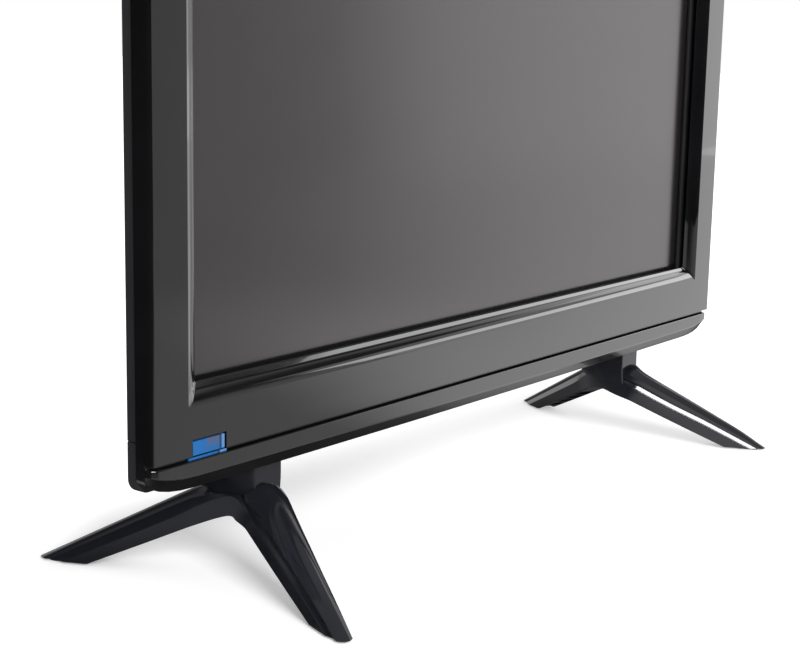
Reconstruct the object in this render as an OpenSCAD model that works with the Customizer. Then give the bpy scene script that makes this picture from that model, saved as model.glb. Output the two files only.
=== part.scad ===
// Small flat screen television on two splayed stands.
// X runs to the right, Y runs back from the screen and Z runs up from the floor.

/* [Screen] */
// Width of the visible picture
screen_width = 409.8; // [396:0.1:424]
// Height of the visible picture
screen_height = 230.4; // [222:0.1:240]

/* [Front frame] */
// Width of the flat frame at the sides and the top
face_width = 19.5; // [18.5:0.5:26]
// Width of the sloping surround inside the flat frame
slope_width = 8; // [7:0.5:11]
// Depth of the sloping surround
slope_depth = 8.5; // [7.5:0.5:9.5]
// Height of the flat chin below the surround
chin_height = 20.4; // [19.4:0.2:28]
// Depth of the front frame at its sides
side_depth = 9.5; // [9:0.5:11]
// Thickness of the moulded walls
wall = 2.2; // [1.8:0.1:2.4]

/* [Lower trim] */
// Height of the trim strip
trim_height = 12.2; // [11:0.2:14]
// Height of the groove over the trim strip
groove_height = 1.8; // [1:0.1:2.6]
// Length of the curve at each end of the trim strip
trim_curve_length = 25; // [15:1:40]
// Height of the curve at each end of the trim strip
trim_curve_height = 7; // [5:0.5:9]
// Height of the slanted under edge of the trim strip
trim_slant = 4.8; // [2:0.2:5.4]
// Depth of the slanted under edge of the trim strip
trim_slant_depth = 1.6; // [0.8:0.2:3]

/* [Rear cover] */
// Depth of the straight rim behind the front frame
rim_depth = 5.3; // [4:0.1:6.5]
// Room for the boards behind the panel
board_room = 28.3; // [27.5:0.1:36]
// Pitch of the wall mount holes
wall_mount_pitch = 75; // [75, 100]

/* [Stands] */
// Height of the lower edge over the floor
ground_clearance = 54.9; // [48:0.1:75]
// Distance of each stand neck from the side of the set
neck_inset = 77.4; // [72:0.1:84]
// Width of each neck
neck_width = 17.5; // [15:0.1:19]
// Distance of the front tips ahead of the centre
front_reach = 85; // [75:0.1:100]
// Distance of the rear tips behind the centre
rear_reach = 82.8; // [70:0.1:95]
// Distance of the front tips outside the necks
front_splay = 34.5; // [26:0.1:42]
// Distance of the rear tips outside the necks
rear_splay = 42; // [32:0.1:50]

/* [Keys] */
// Travel of a key from rest to its stop
key_travel = 0.6; // [0.3:0.1:0.8]
// Distance between neighbouring keys
key_pitch = 14; // [12:0.5:16]

/* [Hidden] */
$fn = 48;

// Small amount that makes a cut pass its face
past = 0.1;
// Gap between two pieces that are seated on each other
seat = 0.1;
// Gap round a piece that is set in a hole
slack = 0.2;
// Gap between a piece that moves and what it moves past
free = 0.4;
// Radial gap between a screw and its hole
screw_gap = 0.05;

// Front frame levels
front_y = -22;
picture_margin = 2.1;
open_w = screen_width + 2 * picture_margin;
open_h = screen_height + 2 * picture_margin;
body_w = open_w + 2 * (slope_width + face_width);
trim_bottom = ground_clearance;
trim_top = trim_bottom + trim_height;
chin_bottom = trim_top + groove_height;
open_bottom = chin_bottom + chin_height + slope_width;
open_top = open_bottom + open_h;
body_top = open_top + slope_width + face_width;
bezel_lift = 0.8;
bezel_bottom = trim_bottom + bezel_lift;
seam_y = front_y + side_depth;
lip_y = front_y + slope_depth;
facet_offset = slope_width / 2;
facet_depth = slope_depth / 7;
edge_radius = 3;
curve_steps = 10;

// Seat for the lower trim
trim_depth = 4.8;
seat_y = front_y + trim_depth + slack;
seat_roof = chin_bottom + wall;
trim_peg_r = 1.5;
trim_peg_length = 1.6;
trim_peg_x = [-180, -90, 0, 90, 180];
trim_peg_share = 0.62;
trim_peg_z = trim_bottom + trim_peg_share * trim_height;
trim_end = 2.2;

// Window for the remote control receiver
window_inset = 21.7;
window_left = -body_w / 2 + window_inset;
window_w = 19.3;
window_h = 6.8;
window_top = chin_bottom + window_h;
window_flange = 1.2;
window_flange_t = 1;

// Panel module, from front to back
frame_t = 0.6;
cell_edge = 6;
cell_t = 1.4;
module_edge = 3.5;
ledge_t = 1.2;
film_t = 0.4;
guide_t = 3;
reflector_t = 0.3;
plate_t = 0.8;
film_margin = 4.5;
pocket_gap = 0.3;
ledge_edge = 2;
cell_w = screen_width + 2 * cell_edge;
cell_h = screen_height + 2 * cell_edge;
cell_bottom = open_bottom + picture_margin - cell_edge;
screen_mid = open_bottom + open_h / 2;
module_w = cell_w + 2 * module_edge;
module_h = cell_h + 2 * module_edge;
module_bottom = cell_bottom - module_edge;
window_reveal = 1;
frame_y = lip_y + slack;
cell_y = frame_y + frame_t + seat;
middle_y = cell_y + cell_t + seat;
prism_y = middle_y + ledge_t + seat;
diffuser_y = prism_y + film_t + seat;
guide_y = diffuser_y + film_t + seat;
reflector_y = guide_y + guide_t + seat;
plate_y = reflector_y + reflector_t + seat;
panel_back = plate_y + plate_t;
film_w = screen_width + 2 * film_margin;
film_h = screen_height + 2 * film_margin;
led_bar_h = 1.2;
led_bar_gap = 0.2;
led_count = 24;
led_size = 2.4;

// Rear cover levels
cover_gap = 0.2;
cover_front = seam_y + cover_gap;
rim_back = cover_front + rim_depth;
slim_depth = 11;
slim_back = rim_back + slim_depth;
back_y = panel_back + board_room;
inner_back = back_y - wall;
cover_inset = 0.6;
cover_radius = 6;
rim_ledge = 2;
cover_lift = 0.2;
cover_bottom = bezel_bottom + cover_lift;
floor_z = cover_bottom + rim_ledge;
inner_floor = floor_z + wall;
slim_inset = 18;
slim_top_inset = 34;
hump_half = 190;
hump_height = 202;
hump_top = floor_z + hump_height;
hump_sink = 1;
hump_draft = 6;
hump_top_draft = 12;

// Screws that hold the rear cover on the front frame
cover_screw_r = 1.5;
cover_head_r = 2.9;
cover_head_t = 2;
cover_boss_r = 5;
bezel_boss_r = 4;
boss_inset = 11;
cover_head_sink = 0.5;
cover_head_y = rim_back + cover_head_sink;
boss_step = 0.5;
boss_meet = seam_y + boss_step;
low_boss_drop = 9.9;
low_boss_z = module_bottom - low_boss_drop;
low_boss_x = 22;
screw_end_gap = 0.5;
cover_screw_spots = [
  [-body_w / 2 + boss_inset, body_top - boss_inset], [0, body_top - boss_inset],
  [body_w / 2 - boss_inset, body_top - boss_inset],
  [-body_w / 2 + boss_inset, screen_mid], [body_w / 2 - boss_inset, screen_mid],
  [-body_w / 2 + boss_inset, low_boss_z], [body_w / 2 - boss_inset, low_boss_z],
  [-low_boss_x, low_boss_z], [low_boss_x, low_boss_z]
];

// Posts that press the panel module on the front frame
clamp_r = 4;
clamp_rise = 20;
clamp_drop = 36;
clamp_low_x = 150;
clamp_low_z = module_bottom + 2 * clamp_rise;
clamp_high_x = 165;
clamp_high_z = module_bottom + module_h - clamp_drop;
clamp_spots = [
  [-clamp_low_x, clamp_low_z], [clamp_low_x, clamp_low_z],
  [-clamp_high_x, clamp_high_z], [clamp_high_x, clamp_high_z]
];

// Boards on pillars behind the panel
pillar_h = 7;
pillar_r = 3;
board_t = 1.6;
board_front = panel_back + seat + pillar_h + seat;
board_back = board_front + board_t;
board_half = 112;
board_inner = 12;
board_rise = 17;
board_low = module_bottom + board_rise;
board_height = 132;
board_high = board_low + board_height;
board_screw_r = 1.5;
board_head_r = 2.7;
board_head_t = 1.6;
board_screw_inset = 5;
board_screw_bite = 4;
socket_strip = 12;
pillar_base = 1;
part_y = board_back + seat;
board_screw_x = [board_inner + board_screw_inset, board_half - board_screw_inset - socket_strip];
board_screw_z = [board_low + board_screw_inset, board_high - board_screw_inset];

// Recessed bays for the sockets
bay_wall = 2.2;
bay_near = 118;
bay_far = 178;
bay_floor_gap = 4.2;
bay_floor = panel_back + bay_floor_gap;
bay_rise = 5;
bay_low = board_low + bay_rise;
bay_height = 124;
bay_high = bay_low + bay_height;
power_bay_height = 46;
power_bay_high = bay_low + power_bay_height;
socket_proud = 0.4;
socket_face = bay_near + socket_proud;

// Sockets on the main board
hdmi_upper_rise = 104;
hdmi_lower_rise = 80;
hdmi_z = [bay_low + hdmi_upper_rise, bay_low + hdmi_lower_rise];
hdmi_w = 15;
hdmi_h = 6;
hdmi_length = 13;
hdmi_open_w = 14;
hdmi_open_h = 4.6;
hdmi_open_depth = 9;
hdmi_tongue_w = 10;
hdmi_tongue_t = 1.2;
usb_rise = 58;
usb_z = bay_low + usb_rise;
usb_w = 14.4;
usb_h = 7;
usb_length = 14;
usb_open_w = 12.6;
usb_open_h = 5.2;
usb_open_depth = 9;
usb_tongue_w = 11;
usb_tongue_t = 1.8;
tongue_set = 1;
jack_upper_rise = 40;
jack_lower_rise = 27;
jack_z = [bay_low + jack_upper_rise, bay_low + jack_lower_rise];
jack_body = 9;
jack_length = 13;
jack_nose_r = 3.2;
jack_nose = 1.6;
jack_r = 1.8;
jack_depth = 12;
jack_mid = part_y + jack_body / 2;
tuner_rise = 3.2;
tuner_low = bay_low + tuner_rise;
tuner_w = 34;
tuner_h = 18;
tuner_t = 12;
tuner_right = 108;
aerial_z = tuner_low + tuner_h / 2;
aerial_mid = part_y + tuner_t / 2;
aerial_r = 5.6;
aerial_bore_r = 4.8;
aerial_pin_r = 1.9;
aerial_pin_bore_r = 1.2;
aerial_pin_set = 1;
aerial_pin_depth = 10;
aerial_proud = 12;
aerial_end = bay_near + aerial_proud;
aerial_pin_end = aerial_end - aerial_pin_set;
aerial_wall = 2;

// Parts on the boards
chip_t = 1.6;
chip_size = 26;
chip_x = 70;
chip_rise = 76;
chip_z = board_low + chip_rise;
memory_size = 12;
memory_x = 44;
memory_gap = 2;
sink_size = 30;
sink_base = 2;
sink_fin_t = 1.6;
sink_fin_h = 7;
sink_fins = 7;
transformer_w = 30;
transformer_h = 32;
transformer_t = 15;
transformer_x = -68;
transformer_rise = 76;
transformer_z = board_low + transformer_rise;
bobbin_w = 20;
bobbin_h = 40;
bobbin_t = 11;
capacitor_r = 7.5;
capacitor_length = 32;
capacitor_x = -101;
capacitor_rise = 66;
capacitor_z = board_low + capacitor_rise;
inlet_rise = 22;
inlet_z = bay_low + inlet_rise;
inlet_w = 19;
inlet_h = 12;
inlet_length = 16;
inlet_open_r = 4.2;
inlet_pitch = 8.6;
inlet_depth = 11;
inlet_pin_r = 1.2;
inlet_pin_length = 10;
inlet_base = 1;
inlet_mid = part_y + inlet_h / 2;

// Driver board and ribbon of the panel
driver_t = 1;
driver_half = 120;
driver_rise = 3;
driver_low = module_bottom + driver_rise;
driver_h = 10;
driver_high = driver_low + driver_h;
ribbon_w = 18;
ribbon_x = 46;
ribbon_t = 0.6;
ribbon_lap = 12;
ribbon_top = board_low + ribbon_lap;
ribbon_foot_rise = 4;
ribbon_foot = driver_low + ribbon_foot_rise;

// Speakers behind the chin
speaker_x = 85;
speaker_w = 66;
speaker_wall = 1.8;
speaker_low = inner_floor + slack;
speaker_h = 21;
speaker_high = speaker_low + speaker_h;
speaker_front_gap = 1.2;
speaker_front = seam_y + speaker_front_gap;
speaker_back_gap = 4;
speaker_back = inner_back - speaker_back_gap;
speaker_mid = (speaker_front + speaker_back) / 2;
cone_r = 12;
cone_travel = 0.8;
cone_throat_r = 5;
cone_t = 0.8;
cone_clear = 0.6;
cone_front = speaker_low + cone_travel + cone_clear;
cone_h = 7;
coil_t = 0.5;
coil_h = 5.5;
magnet_r = 9;
magnet_rise = 10.4;
magnet_low = speaker_low + magnet_rise;
magnet_slot = 5.6;
magnet_pole_r = 3.9;
magnet_slot_r = 5.6;
grille_slots = 6;
grille_pitch = 4.2;
grille_w = 2;
grille_length = 20;

// Keys on the rear cover
key_names = ["power", "channel_up", "channel_down", "volume_up", "volume_down"];
key_first_x = 52;
key_rise = 6;
key_z = module_bottom + key_rise;
key_w = 9;
key_h = 6;
key_flange = 1.1;
key_flange_t = 1.5;
key_proud = 1.3;
key_stem_r = 1.6;
key_rest = inner_back - free;
key_stem_length = 1;
plunger_top = key_rest - key_flange_t - key_stem_length;
switch_body = 6;
switch_t = 3.5;
switch_back = plunger_top - key_travel - free;
switch_front = switch_back - switch_t;
plunger_r = 1.7;
plunger_fit = 0.08;
plunger_depth = 1.4;
switch_bore = plunger_depth + key_travel + free;
key_board_t = 1.6;
key_board_back = switch_front - seat;
key_board_front = key_board_back - key_board_t;
key_board_h = 12;
key_board_margin = 14;
key_board_x0 = key_first_x - key_board_margin;
key_board_x1 = key_first_x + 4 * key_pitch + key_board_margin;
key_post_r = 3.2;
key_post_pin_r = 1.4;
key_post_inset = 5;

// Remote control receiver
remote_board_t = 1.6;
remote_board_w = 30;
remote_board_h = 15;
remote_x = window_left + window_w / 2;
receiver_lift = 1.1;
remote_z = (seat_roof + window_top) / 2 + receiver_lift;
receiver_r = 2.4;
receiver_w = 6;
receiver_h = 6.4;
receiver_t = 2;
receiver_gap = 0.4;
receiver_front = front_y + wall + slack + window_flange_t + receiver_gap;
remote_board_front = receiver_front + receiver_r + receiver_t + seat;
remote_low = seat_roof + slack;
remote_rib_t = 2;

// Wall mount
insert_r = 3;
insert_bore_r = 2;
insert_length = 10;
insert_boss_r = 6;
mount_rise = 120;
mount_z = floor_z + mount_rise;

// Vents in the rear cover
vent_w = 3;
vent_h = 16;
vent_pitch = 8;
vent_count = 20;
vent_drop = 22;
vent_z = hump_top - hump_top_draft - vent_drop;

// Stands
neck_x = body_w / 2 - neck_inset;
neck_set_back = 9.9;
neck_front = front_y + neck_set_back;
neck_depth = 29.7;
neck_back = neck_front + neck_depth;
neck_drop = 21;
neck_root = ground_clearance - neck_drop;
neck_rise = 22;
neck_top = inner_floor + neck_rise;
sleeve_wall = 2.2;
sleeve_gap = 0.25;
sleeve_half = neck_width / 2 + sleeve_gap + sleeve_wall;
front_root_out = 3.4;
front_root_y = -14.4;
front_root_drop = 15.6;
front_root = [neck_x + front_root_out, front_root_y, ground_clearance - front_root_drop];
front_tip = [neck_x + front_splay, -front_reach, 0];
rear_root_out = 9.9;
rear_root_y = 16;
rear_root_drop = 16.7;
rear_root = [neck_x + rear_root_out, rear_root_y, ground_clearance - rear_root_drop];
rear_tip = [neck_x + rear_splay, rear_reach, 0];
front_root_w = 17.3;
front_root_h = 13.6;
front_tip_w = 7.4;
front_tip_h = 8.6;
rear_root_w = 14.5;
rear_root_h = 12.4;
rear_tip_w = 12.8;
rear_tip_h = 7;
front_rise = 0.6;
rear_rise = 0.35;
slice_t = 0.02;
section_step = 12;
bar_skin = 2.2;
front_roof = 6.5;
front_start = -0.15;
rear_start = -0.2;
bar_end = 1.3;
hollow_start = 0.18;
hollow_end = 0.72;
rib_count = 3;
rib_t = 1.6;
rib_span = 60;
base_z = 1;
arch_r = 10;
arch_y = 0.5;
arch_drop = 25.5;
arch_top = ground_clearance - arch_drop;
web_half = 8.5;
web_out = 1;
web_x = neck_x + web_out;
web_reach = 13;
web_drop = 2;
web_lift = 9;
arch_span = 40;
pad_t = 2;
pad_gap = 0.05;
front_pad = [4, 9, 7];
rear_pad = [6, 7, 4.5];
stand_screw_r = 2;
stand_head_r = 3.8;
stand_head_t = 2.4;
stand_screw_bite = 12;
stand_screw_low = 5;
stand_screw_high = 16;
stand_screw_z = [inner_floor + stand_screw_low, inner_floor + stand_screw_high];
stand_head_gap = 3.2;
stand_head_y = neck_back + stand_head_gap;
stand_screw_end_gap = 1;

// A box between two corners
module block(x0, x1, y0, y1, z0, z1) {
  translate([x0, y0, z0]) cube([x1 - x0, y1 - y0, z1 - z0]);
}

// A flat outline in X and Z that runs from y0 to y1
module slab(y0, y1) {
  translate([0, y1, 0]) rotate([90, 0, 0]) linear_extrude(y1 - y0) children();
}

// A round bar along Y
module rod_y(x, z, y0, y1, r) {
  translate([x, y0, z]) rotate([-90, 0, 0]) cylinder(h = y1 - y0, r = r);
}

// A round bar along X
module rod_x(y, z, x0, x1, r) {
  translate([x0, y, z]) rotate([0, 90, 0]) cylinder(h = x1 - x0, r = r);
}

// A rectangle between two corners with round corners
module round_rect(x0, x1, z0, z1, r) {
  translate([x0 + r, z0]) square([x1 - x0 - 2 * r, z1 - z0]);
  translate([x0, z0 + r]) square([x1 - x0, z1 - z0 - 2 * r]);
  for (x = [x0 + r, x1 - r]) for (z = [z0 + r, z1 - r]) translate([x, z]) circle(r);
}

// A rectangle of a given width and height about the middle of the screen
module screen_rect(w, h) {
  translate([-w / 2, screen_mid - h / 2]) square([w, h]);
}

// A block whose front and rear rectangles differ, each given as left, right, low, high
module taper(a, ya, b, yb) {
  polyhedron(
    points = [
      [a[0], ya, a[2]], [a[1], ya, a[2]], [a[1], ya, a[3]], [a[0], ya, a[3]],
      [b[0], yb, b[2]], [b[1], yb, b[2]], [b[1], yb, b[3]], [b[0], yb, b[3]]
    ],
    faces = [[0, 3, 2, 1], [4, 5, 6, 7], [0, 1, 5, 4], [3, 7, 6, 2], [0, 4, 7, 3], [1, 2, 6, 5]]
  );
}

// Both sides of a piece that is drawn on the right
module both_sides() {
  children();
  mirror([1, 0, 0]) children();
}

// Points of a lower corner curve on the right
function low_curve(x, z, run, rise) =
  [for (i = [0 : curve_steps])
    [x - run * (1 - sin(90 * i / curve_steps)), z + rise * (1 - cos(90 * i / curve_steps))]];

// Points of an upper round corner on the right
function high_curve(x, z, r) =
  [for (i = [0 : curve_steps])
    [x - r * (1 - cos(90 * i / curve_steps)), z - r * (1 - sin(90 * i / curve_steps))]];

// Points mirrored to the left in reverse order
function to_left(p) = [for (i = [len(p) - 1 : -1 : 0]) [-p[i][0], p[i][1]]];

// Outline of the front frame drawn in by an inset
module bezel_outline(inset) {
  right = concat(
    low_curve(body_w / 2 - inset, bezel_bottom + inset, trim_curve_length, trim_curve_height),
    high_curve(body_w / 2 - inset, body_top - inset, edge_radius)
  );
  polygon(concat(right, to_left(right)));
}

// Outline of the lower trim
module trim_outline() {
  half = body_w / 2 - trim_end;
  right = concat(low_curve(half, trim_bottom, trim_curve_length, trim_curve_height), [[half, trim_top]]);
  polygon(concat(right, to_left(right)));
}

// Opening of the front frame widened by an offset, as left, right, low, high
function opening(o) = [-open_w / 2 - o, open_w / 2 + o, open_bottom - o, open_top + o];

// Pocket in which one stand neck sits
module neck_pocket() {
  block(
    neck_x - neck_width / 2 - sleeve_gap, neck_x + neck_width / 2 + sleeve_gap,
    neck_front - sleeve_gap, neck_back + sleeve_gap, neck_root, neck_top + sleeve_gap
  );
}

module front_bezel() {
  color("black") difference() {
    union() {
      difference() {
        slab(front_y, seam_y) bezel_outline(0);
        slab(front_y + wall, seam_y + past) bezel_outline(wall);
      }
      slab(front_y, lip_y) screen_rect(open_w + 2 * (slope_width + wall), open_h + 2 * (slope_width + wall));
      intersection() {
        slab(front_y, seam_y) bezel_outline(0);
        union() {
          block(-body_w / 2, body_w / 2, seat_y, seat_y + wall, bezel_bottom, seat_roof);
          block(-body_w / 2, body_w / 2, front_y, seat_y + wall, chin_bottom, seat_roof);
        }
      }
      for (p = cover_screw_spots) rod_y(p[0], p[1], front_y + wall / 2, boss_meet - seat, bezel_boss_r);
      for (x = [remote_x - remote_board_w / 2, remote_x + remote_board_w / 2 - remote_rib_t])
        block(x, x + remote_rib_t, front_y + wall / 2, remote_board_front - seat,
          remote_low, remote_low + remote_board_h);
    }
    taper(opening(slope_width), front_y - past / 100, opening(facet_offset), front_y + facet_depth);
    taper(opening(facet_offset), front_y + facet_depth - past / 100, opening(0), lip_y + past);
    block(-body_w, body_w, front_y - past, seat_y, 0, chin_bottom);
    block(window_left, window_left + window_w, front_y - past, front_y + wall + past,
      chin_bottom - past, window_top);
    for (x = trim_peg_x) rod_y(x, trim_peg_z, seat_y - past, seat_y + wall + past, trim_peg_r + screw_gap);
    for (p = cover_screw_spots)
      rod_y(p[0], p[1], front_y + wall, boss_meet, cover_screw_r + screw_gap);
    both_sides() neck_pocket();
  }
}

module chin_trim() {
  color("dimgray") difference() {
    union() {
      slab(front_y, front_y + trim_depth) trim_outline();
      for (x = trim_peg_x)
        rod_y(x, trim_peg_z, front_y + trim_depth - past, seat_y + trim_peg_length, trim_peg_r);
    }
    slant();
  }
}

// Wedge that cuts the slanted under edge of the trim
module slant() {
  translate([-body_w, 0, 0]) rotate([90, 0, 90]) linear_extrude(2 * body_w) polygon([
    [front_y - past, 0], [front_y - past, trim_bottom + trim_slant], [front_y, trim_bottom + trim_slant],
    [front_y + trim_slant_depth, trim_bottom], [front_y + trim_slant_depth, 0]
  ]);
}

module remote_window() {
  color("royalblue") union() {
    block(
      window_left + slack, window_left + window_w - slack, front_y, front_y + wall + slack + window_flange_t,
      seat_roof + slack, window_top - slack
    );
    block(
      window_left + slack, window_left + window_w - slack, front_y, front_y + wall - slack,
      chin_bottom + slack, window_top - slack
    );
    block(
      window_left - window_flange, window_left + window_w + window_flange,
      front_y + wall + seat, front_y + wall + slack + window_flange_t,
      seat_roof + slack, window_top + window_flange
    );
  }
}

// Rectangles of the rear cover drawn in by an inset
function slim_front(i) = [
  -body_w / 2 + cover_inset + rim_ledge + i, body_w / 2 - cover_inset - rim_ledge - i,
  floor_z + i, body_top - cover_inset - rim_ledge - i
];
function slim_rear(i) = [
  -body_w / 2 + slim_inset + i, body_w / 2 - slim_inset - i, floor_z + i, body_top - slim_top_inset - i
];
function hump_front(i) = [-hump_half + i, hump_half - i, floor_z + i, hump_top - i];
function hump_rear(i) = [
  -hump_half + hump_draft + i, hump_half - hump_draft - i, floor_z + i, hump_top - hump_top_draft - i
];

// Solid form of the rear cover, drawn in by an inset and starting at a level
module cover_form(i, start) {
  slab(start, rim_back - i) round_rect(
    -body_w / 2 + cover_inset + i, body_w / 2 - cover_inset - i,
    cover_bottom + i, body_top - cover_inset - i, cover_radius - i
  );
  taper(slim_front(i), rim_back - i - past, slim_rear(i), slim_back - i);
  taper(hump_front(i), slim_back - i - hump_sink, hump_rear(i), back_y - i);
}

module rear_cover() {
  color("dimgray") difference() {
    union() {
      difference() {
        cover_form(0, cover_front);
        cover_form(wall, cover_front - past);
      }
      intersection() {
        cover_form(0, cover_front);
        union() {
          block(bay_near - bay_wall, bay_far + bay_wall, bay_floor - bay_wall, back_y,
            bay_low - bay_wall, bay_high + bay_wall);
          block(-bay_far - bay_wall, -bay_near + bay_wall, bay_floor - bay_wall, back_y,
            bay_low - bay_wall, power_bay_high + bay_wall);
          for (p = cover_screw_spots) rod_y(p[0], p[1], boss_meet, back_y, cover_boss_r);
          for (p = clamp_spots) rod_y(p[0], p[1], panel_back + seat, back_y, clamp_r);
          for (x = [-1, 1]) for (z = [-1, 1])
            rod_y(x * wall_mount_pitch / 2, mount_z + z * wall_mount_pitch / 2,
              back_y - insert_length - wall, back_y, insert_boss_r);
          both_sides() block(
            neck_x - sleeve_half, neck_x + sleeve_half,
            cover_front, back_y, floor_z, neck_top + sleeve_gap + sleeve_wall
          );
          for (x = [key_board_x0 + key_post_inset, key_board_x1 - key_post_inset])
            rod_y(x, key_z, key_board_back + seat, back_y, key_post_r);
        }
      }
      for (x = [key_board_x0 + key_post_inset, key_board_x1 - key_post_inset])
        rod_y(x, key_z, key_board_front, key_board_back + 2 * seat, key_post_pin_r);
    }
    block(bay_near, bay_far, bay_floor, back_y + past, bay_low, bay_high);
    block(-bay_far, -bay_near, bay_floor, back_y + past, bay_low, power_bay_high);
    for (z = hdmi_z)
      block(bay_near - bay_wall - past, bay_near + past, part_y - slack, part_y + hdmi_h + slack,
        z - hdmi_w / 2 - slack, z + hdmi_w / 2 + slack);
    block(bay_near - bay_wall - past, bay_near + past, part_y - slack, part_y + usb_h + slack,
      usb_z - usb_w / 2 - slack, usb_z + usb_w / 2 + slack);
    for (z = jack_z) rod_x(jack_mid, z, bay_near - bay_wall - past, bay_near + past, jack_nose_r + slack);
    rod_x(aerial_mid, aerial_z, bay_near - bay_wall - past, bay_near + past, aerial_r + slack);
    block(-bay_near - past, -bay_near + bay_wall + past, part_y - slack, part_y + inlet_h + slack,
      inlet_z - inlet_w / 2 - slack, inlet_z + inlet_w / 2 + slack);
    for (p = cover_screw_spots) {
      rod_y(p[0], p[1], boss_meet - past, back_y + past, cover_screw_r + slack);
      rod_y(p[0], p[1], cover_head_y, back_y + past, cover_head_r + slack);
    }
    for (x = [-1, 1]) for (z = [-1, 1])
      rod_y(x * wall_mount_pitch / 2, mount_z + z * wall_mount_pitch / 2,
        back_y - insert_length, back_y + past, insert_r + screw_gap);
    for (i = [0 : vent_count - 1])
      translate([(i - (vent_count - 1) / 2) * vent_pitch, back_y - wall / 2, vent_z])
        cube([vent_w, wall + 2 * past, vent_h], center = true);
    both_sides() {
      neck_pocket();
      for (z = stand_screw_z) {
        rod_y(neck_x, z, neck_back, back_y + past, stand_screw_r + slack);
        rod_y(neck_x, z, stand_head_y, back_y + past, stand_head_r + slack);
      }
      for (i = [0 : grille_slots - 1])
        translate([speaker_x + (i - (grille_slots - 1) / 2) * grille_pitch, speaker_mid, floor_z + wall / 2])
          cube([grille_w, grille_length, wall + 2 * past], center = true);
    }
    for (i = [0 : len(key_names) - 1])
      block(key_x(i) - key_w / 2 - free, key_x(i) + key_w / 2 + free, inner_back - past, back_y + past,
        key_z - key_h / 2 - free, key_z + key_h / 2 + free);
  }
}

// Place of a key along X
function key_x(i) = key_first_x + i * key_pitch;

// Outline of a stand bar, with its depth along X and its width along Y
module bar_section(w, h, lift) {
  polygon(concat(
    [for (a = [0 : section_step : 180]) [-lift * w / 2 * sin(a), w / 2 * cos(a)]],
    [[h, -w / 2], [h, w / 2]]
  ));
}

// One thin slice of a bar at a share of its length
module bar_slice(root, tip, w0, w1, h0, h1, lift, share, skin, roof) {
  d = tip - root;
  w = w0 + (w1 - w0) * share - 2 * skin;
  h = h0 + (h1 - h0) * share + roof;
  translate(root + d * share)
    rotate([0, acos(d[2] / norm(d)), atan2(d[1], d[0])])
      translate([roof, 0, 0]) linear_extrude(slice_t) bar_section(w, h, lift);
}

// A bar between two shares of its length, drawn in by a skin at the sides and a roof on top
module bar(root, tip, w0, w1, h0, h1, lift, from, to, skin, roof) {
  hull() {
    bar_slice(root, tip, w0, w1, h0, h1, lift, from, skin, roof);
    bar_slice(root, tip, w0, w1, h0, h1, lift, to, skin, roof);
  }
}

// Ribs across the hollow of a bar
module bar_ribs(root, tip) {
  d = tip - root;
  for (i = [1 : rib_count])
    translate(root + d * (hollow_start + (hollow_end - hollow_start) * i / (rib_count + 1)))
      rotate([0, acos(d[2] / norm(d)), atan2(d[1], d[0])])
        cube([rib_span, rib_span, rib_t], center = true);
}

// Place of a foot pad under a bar, as width, straight length and set back
module pad_form(root, tip, pad, grow, z0, z1) {
  d = tip - root;
  translate([tip[0], tip[1], z0]) rotate([0, 0, atan2(d[1], d[0])]) union() {
    translate([-pad[2] - pad[1], -pad[0] / 2 - grow, 0]) cube([pad[1], pad[0] + 2 * grow, z1 - z0]);
    for (x = [-pad[2] - pad[1], -pad[2]])
      translate([x, 0, 0]) cylinder(h = z1 - z0, r = pad[0] / 2 + grow);
  }
}

// The stand on the right
module stand() {
  difference() {
    union() {
      bar(front_root, front_tip, front_root_w, front_tip_w, front_root_h, front_tip_h,
        front_rise, front_start, bar_end, 0, 0);
      bar(rear_root, rear_tip, rear_root_w, rear_tip_w, rear_root_h, rear_tip_h,
        rear_rise, rear_start, bar_end, 0, 0);
      block(neck_x - neck_width / 2, neck_x + neck_width / 2, neck_front, neck_back, neck_root, neck_top);
      block(web_x - web_half, web_x + web_half, arch_y - web_reach, arch_y + web_reach,
        arch_top - web_drop, neck_root + web_lift);
    }
    rod_x(arch_y, arch_top - arch_r, neck_x - arch_span, neck_x + arch_span, arch_r);
    block(neck_x - arch_span, neck_x + arch_span, arch_y - arch_r, arch_y + arch_r, 0, arch_top - arch_r);
    difference() {
      bar(front_root, front_tip, front_root_w, front_tip_w, front_root_h, front_tip_h,
        front_rise, hollow_start, hollow_end, bar_skin, front_roof);
      bar_ribs(front_root, front_tip);
    }
    difference() {
      bar(rear_root, rear_tip, rear_root_w, rear_tip_w, rear_root_h, rear_tip_h,
        rear_rise, hollow_start, hollow_end, bar_skin, bar_skin);
      bar_ribs(rear_root, rear_tip);
    }
    block(0, body_w, -body_w, body_w, -body_w, base_z);
    pad_form(front_root, front_tip, front_pad, pad_gap, 0, pad_t + pad_gap);
    pad_form(rear_root, rear_tip, rear_pad, pad_gap, 0, pad_t + pad_gap);
    for (z = stand_screw_z)
      rod_y(neck_x, z, neck_back - stand_screw_bite, neck_back + past, stand_screw_r + screw_gap);
  }
}

module stand_left() {
  color("black") mirror([1, 0, 0]) stand();
}

module stand_right() {
  color("black") stand();
}

module foot_pads() {
  color("gray") both_sides() {
    pad_form(front_root, front_tip, front_pad, 0, 0, pad_t);
    pad_form(rear_root, rear_tip, rear_pad, 0, 0, pad_t);
  }
}

module stand_screws() {
  color("silver") both_sides() for (z = stand_screw_z) union() {
    rod_y(neck_x, z, neck_back - stand_screw_bite + stand_screw_end_gap, stand_head_y + past, stand_screw_r);
    rod_y(neck_x, z, stand_head_y + seat / 2, stand_head_y + stand_head_t, stand_head_r);
  }
}

module cover_screws() {
  color("silver") for (p = cover_screw_spots) union() {
    rod_y(p[0], p[1], front_y + wall + screw_end_gap, cover_head_y + past, cover_screw_r);
    rod_y(p[0], p[1], cover_head_y + seat / 2, cover_head_y + cover_head_t, cover_head_r);
  }
}

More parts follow.
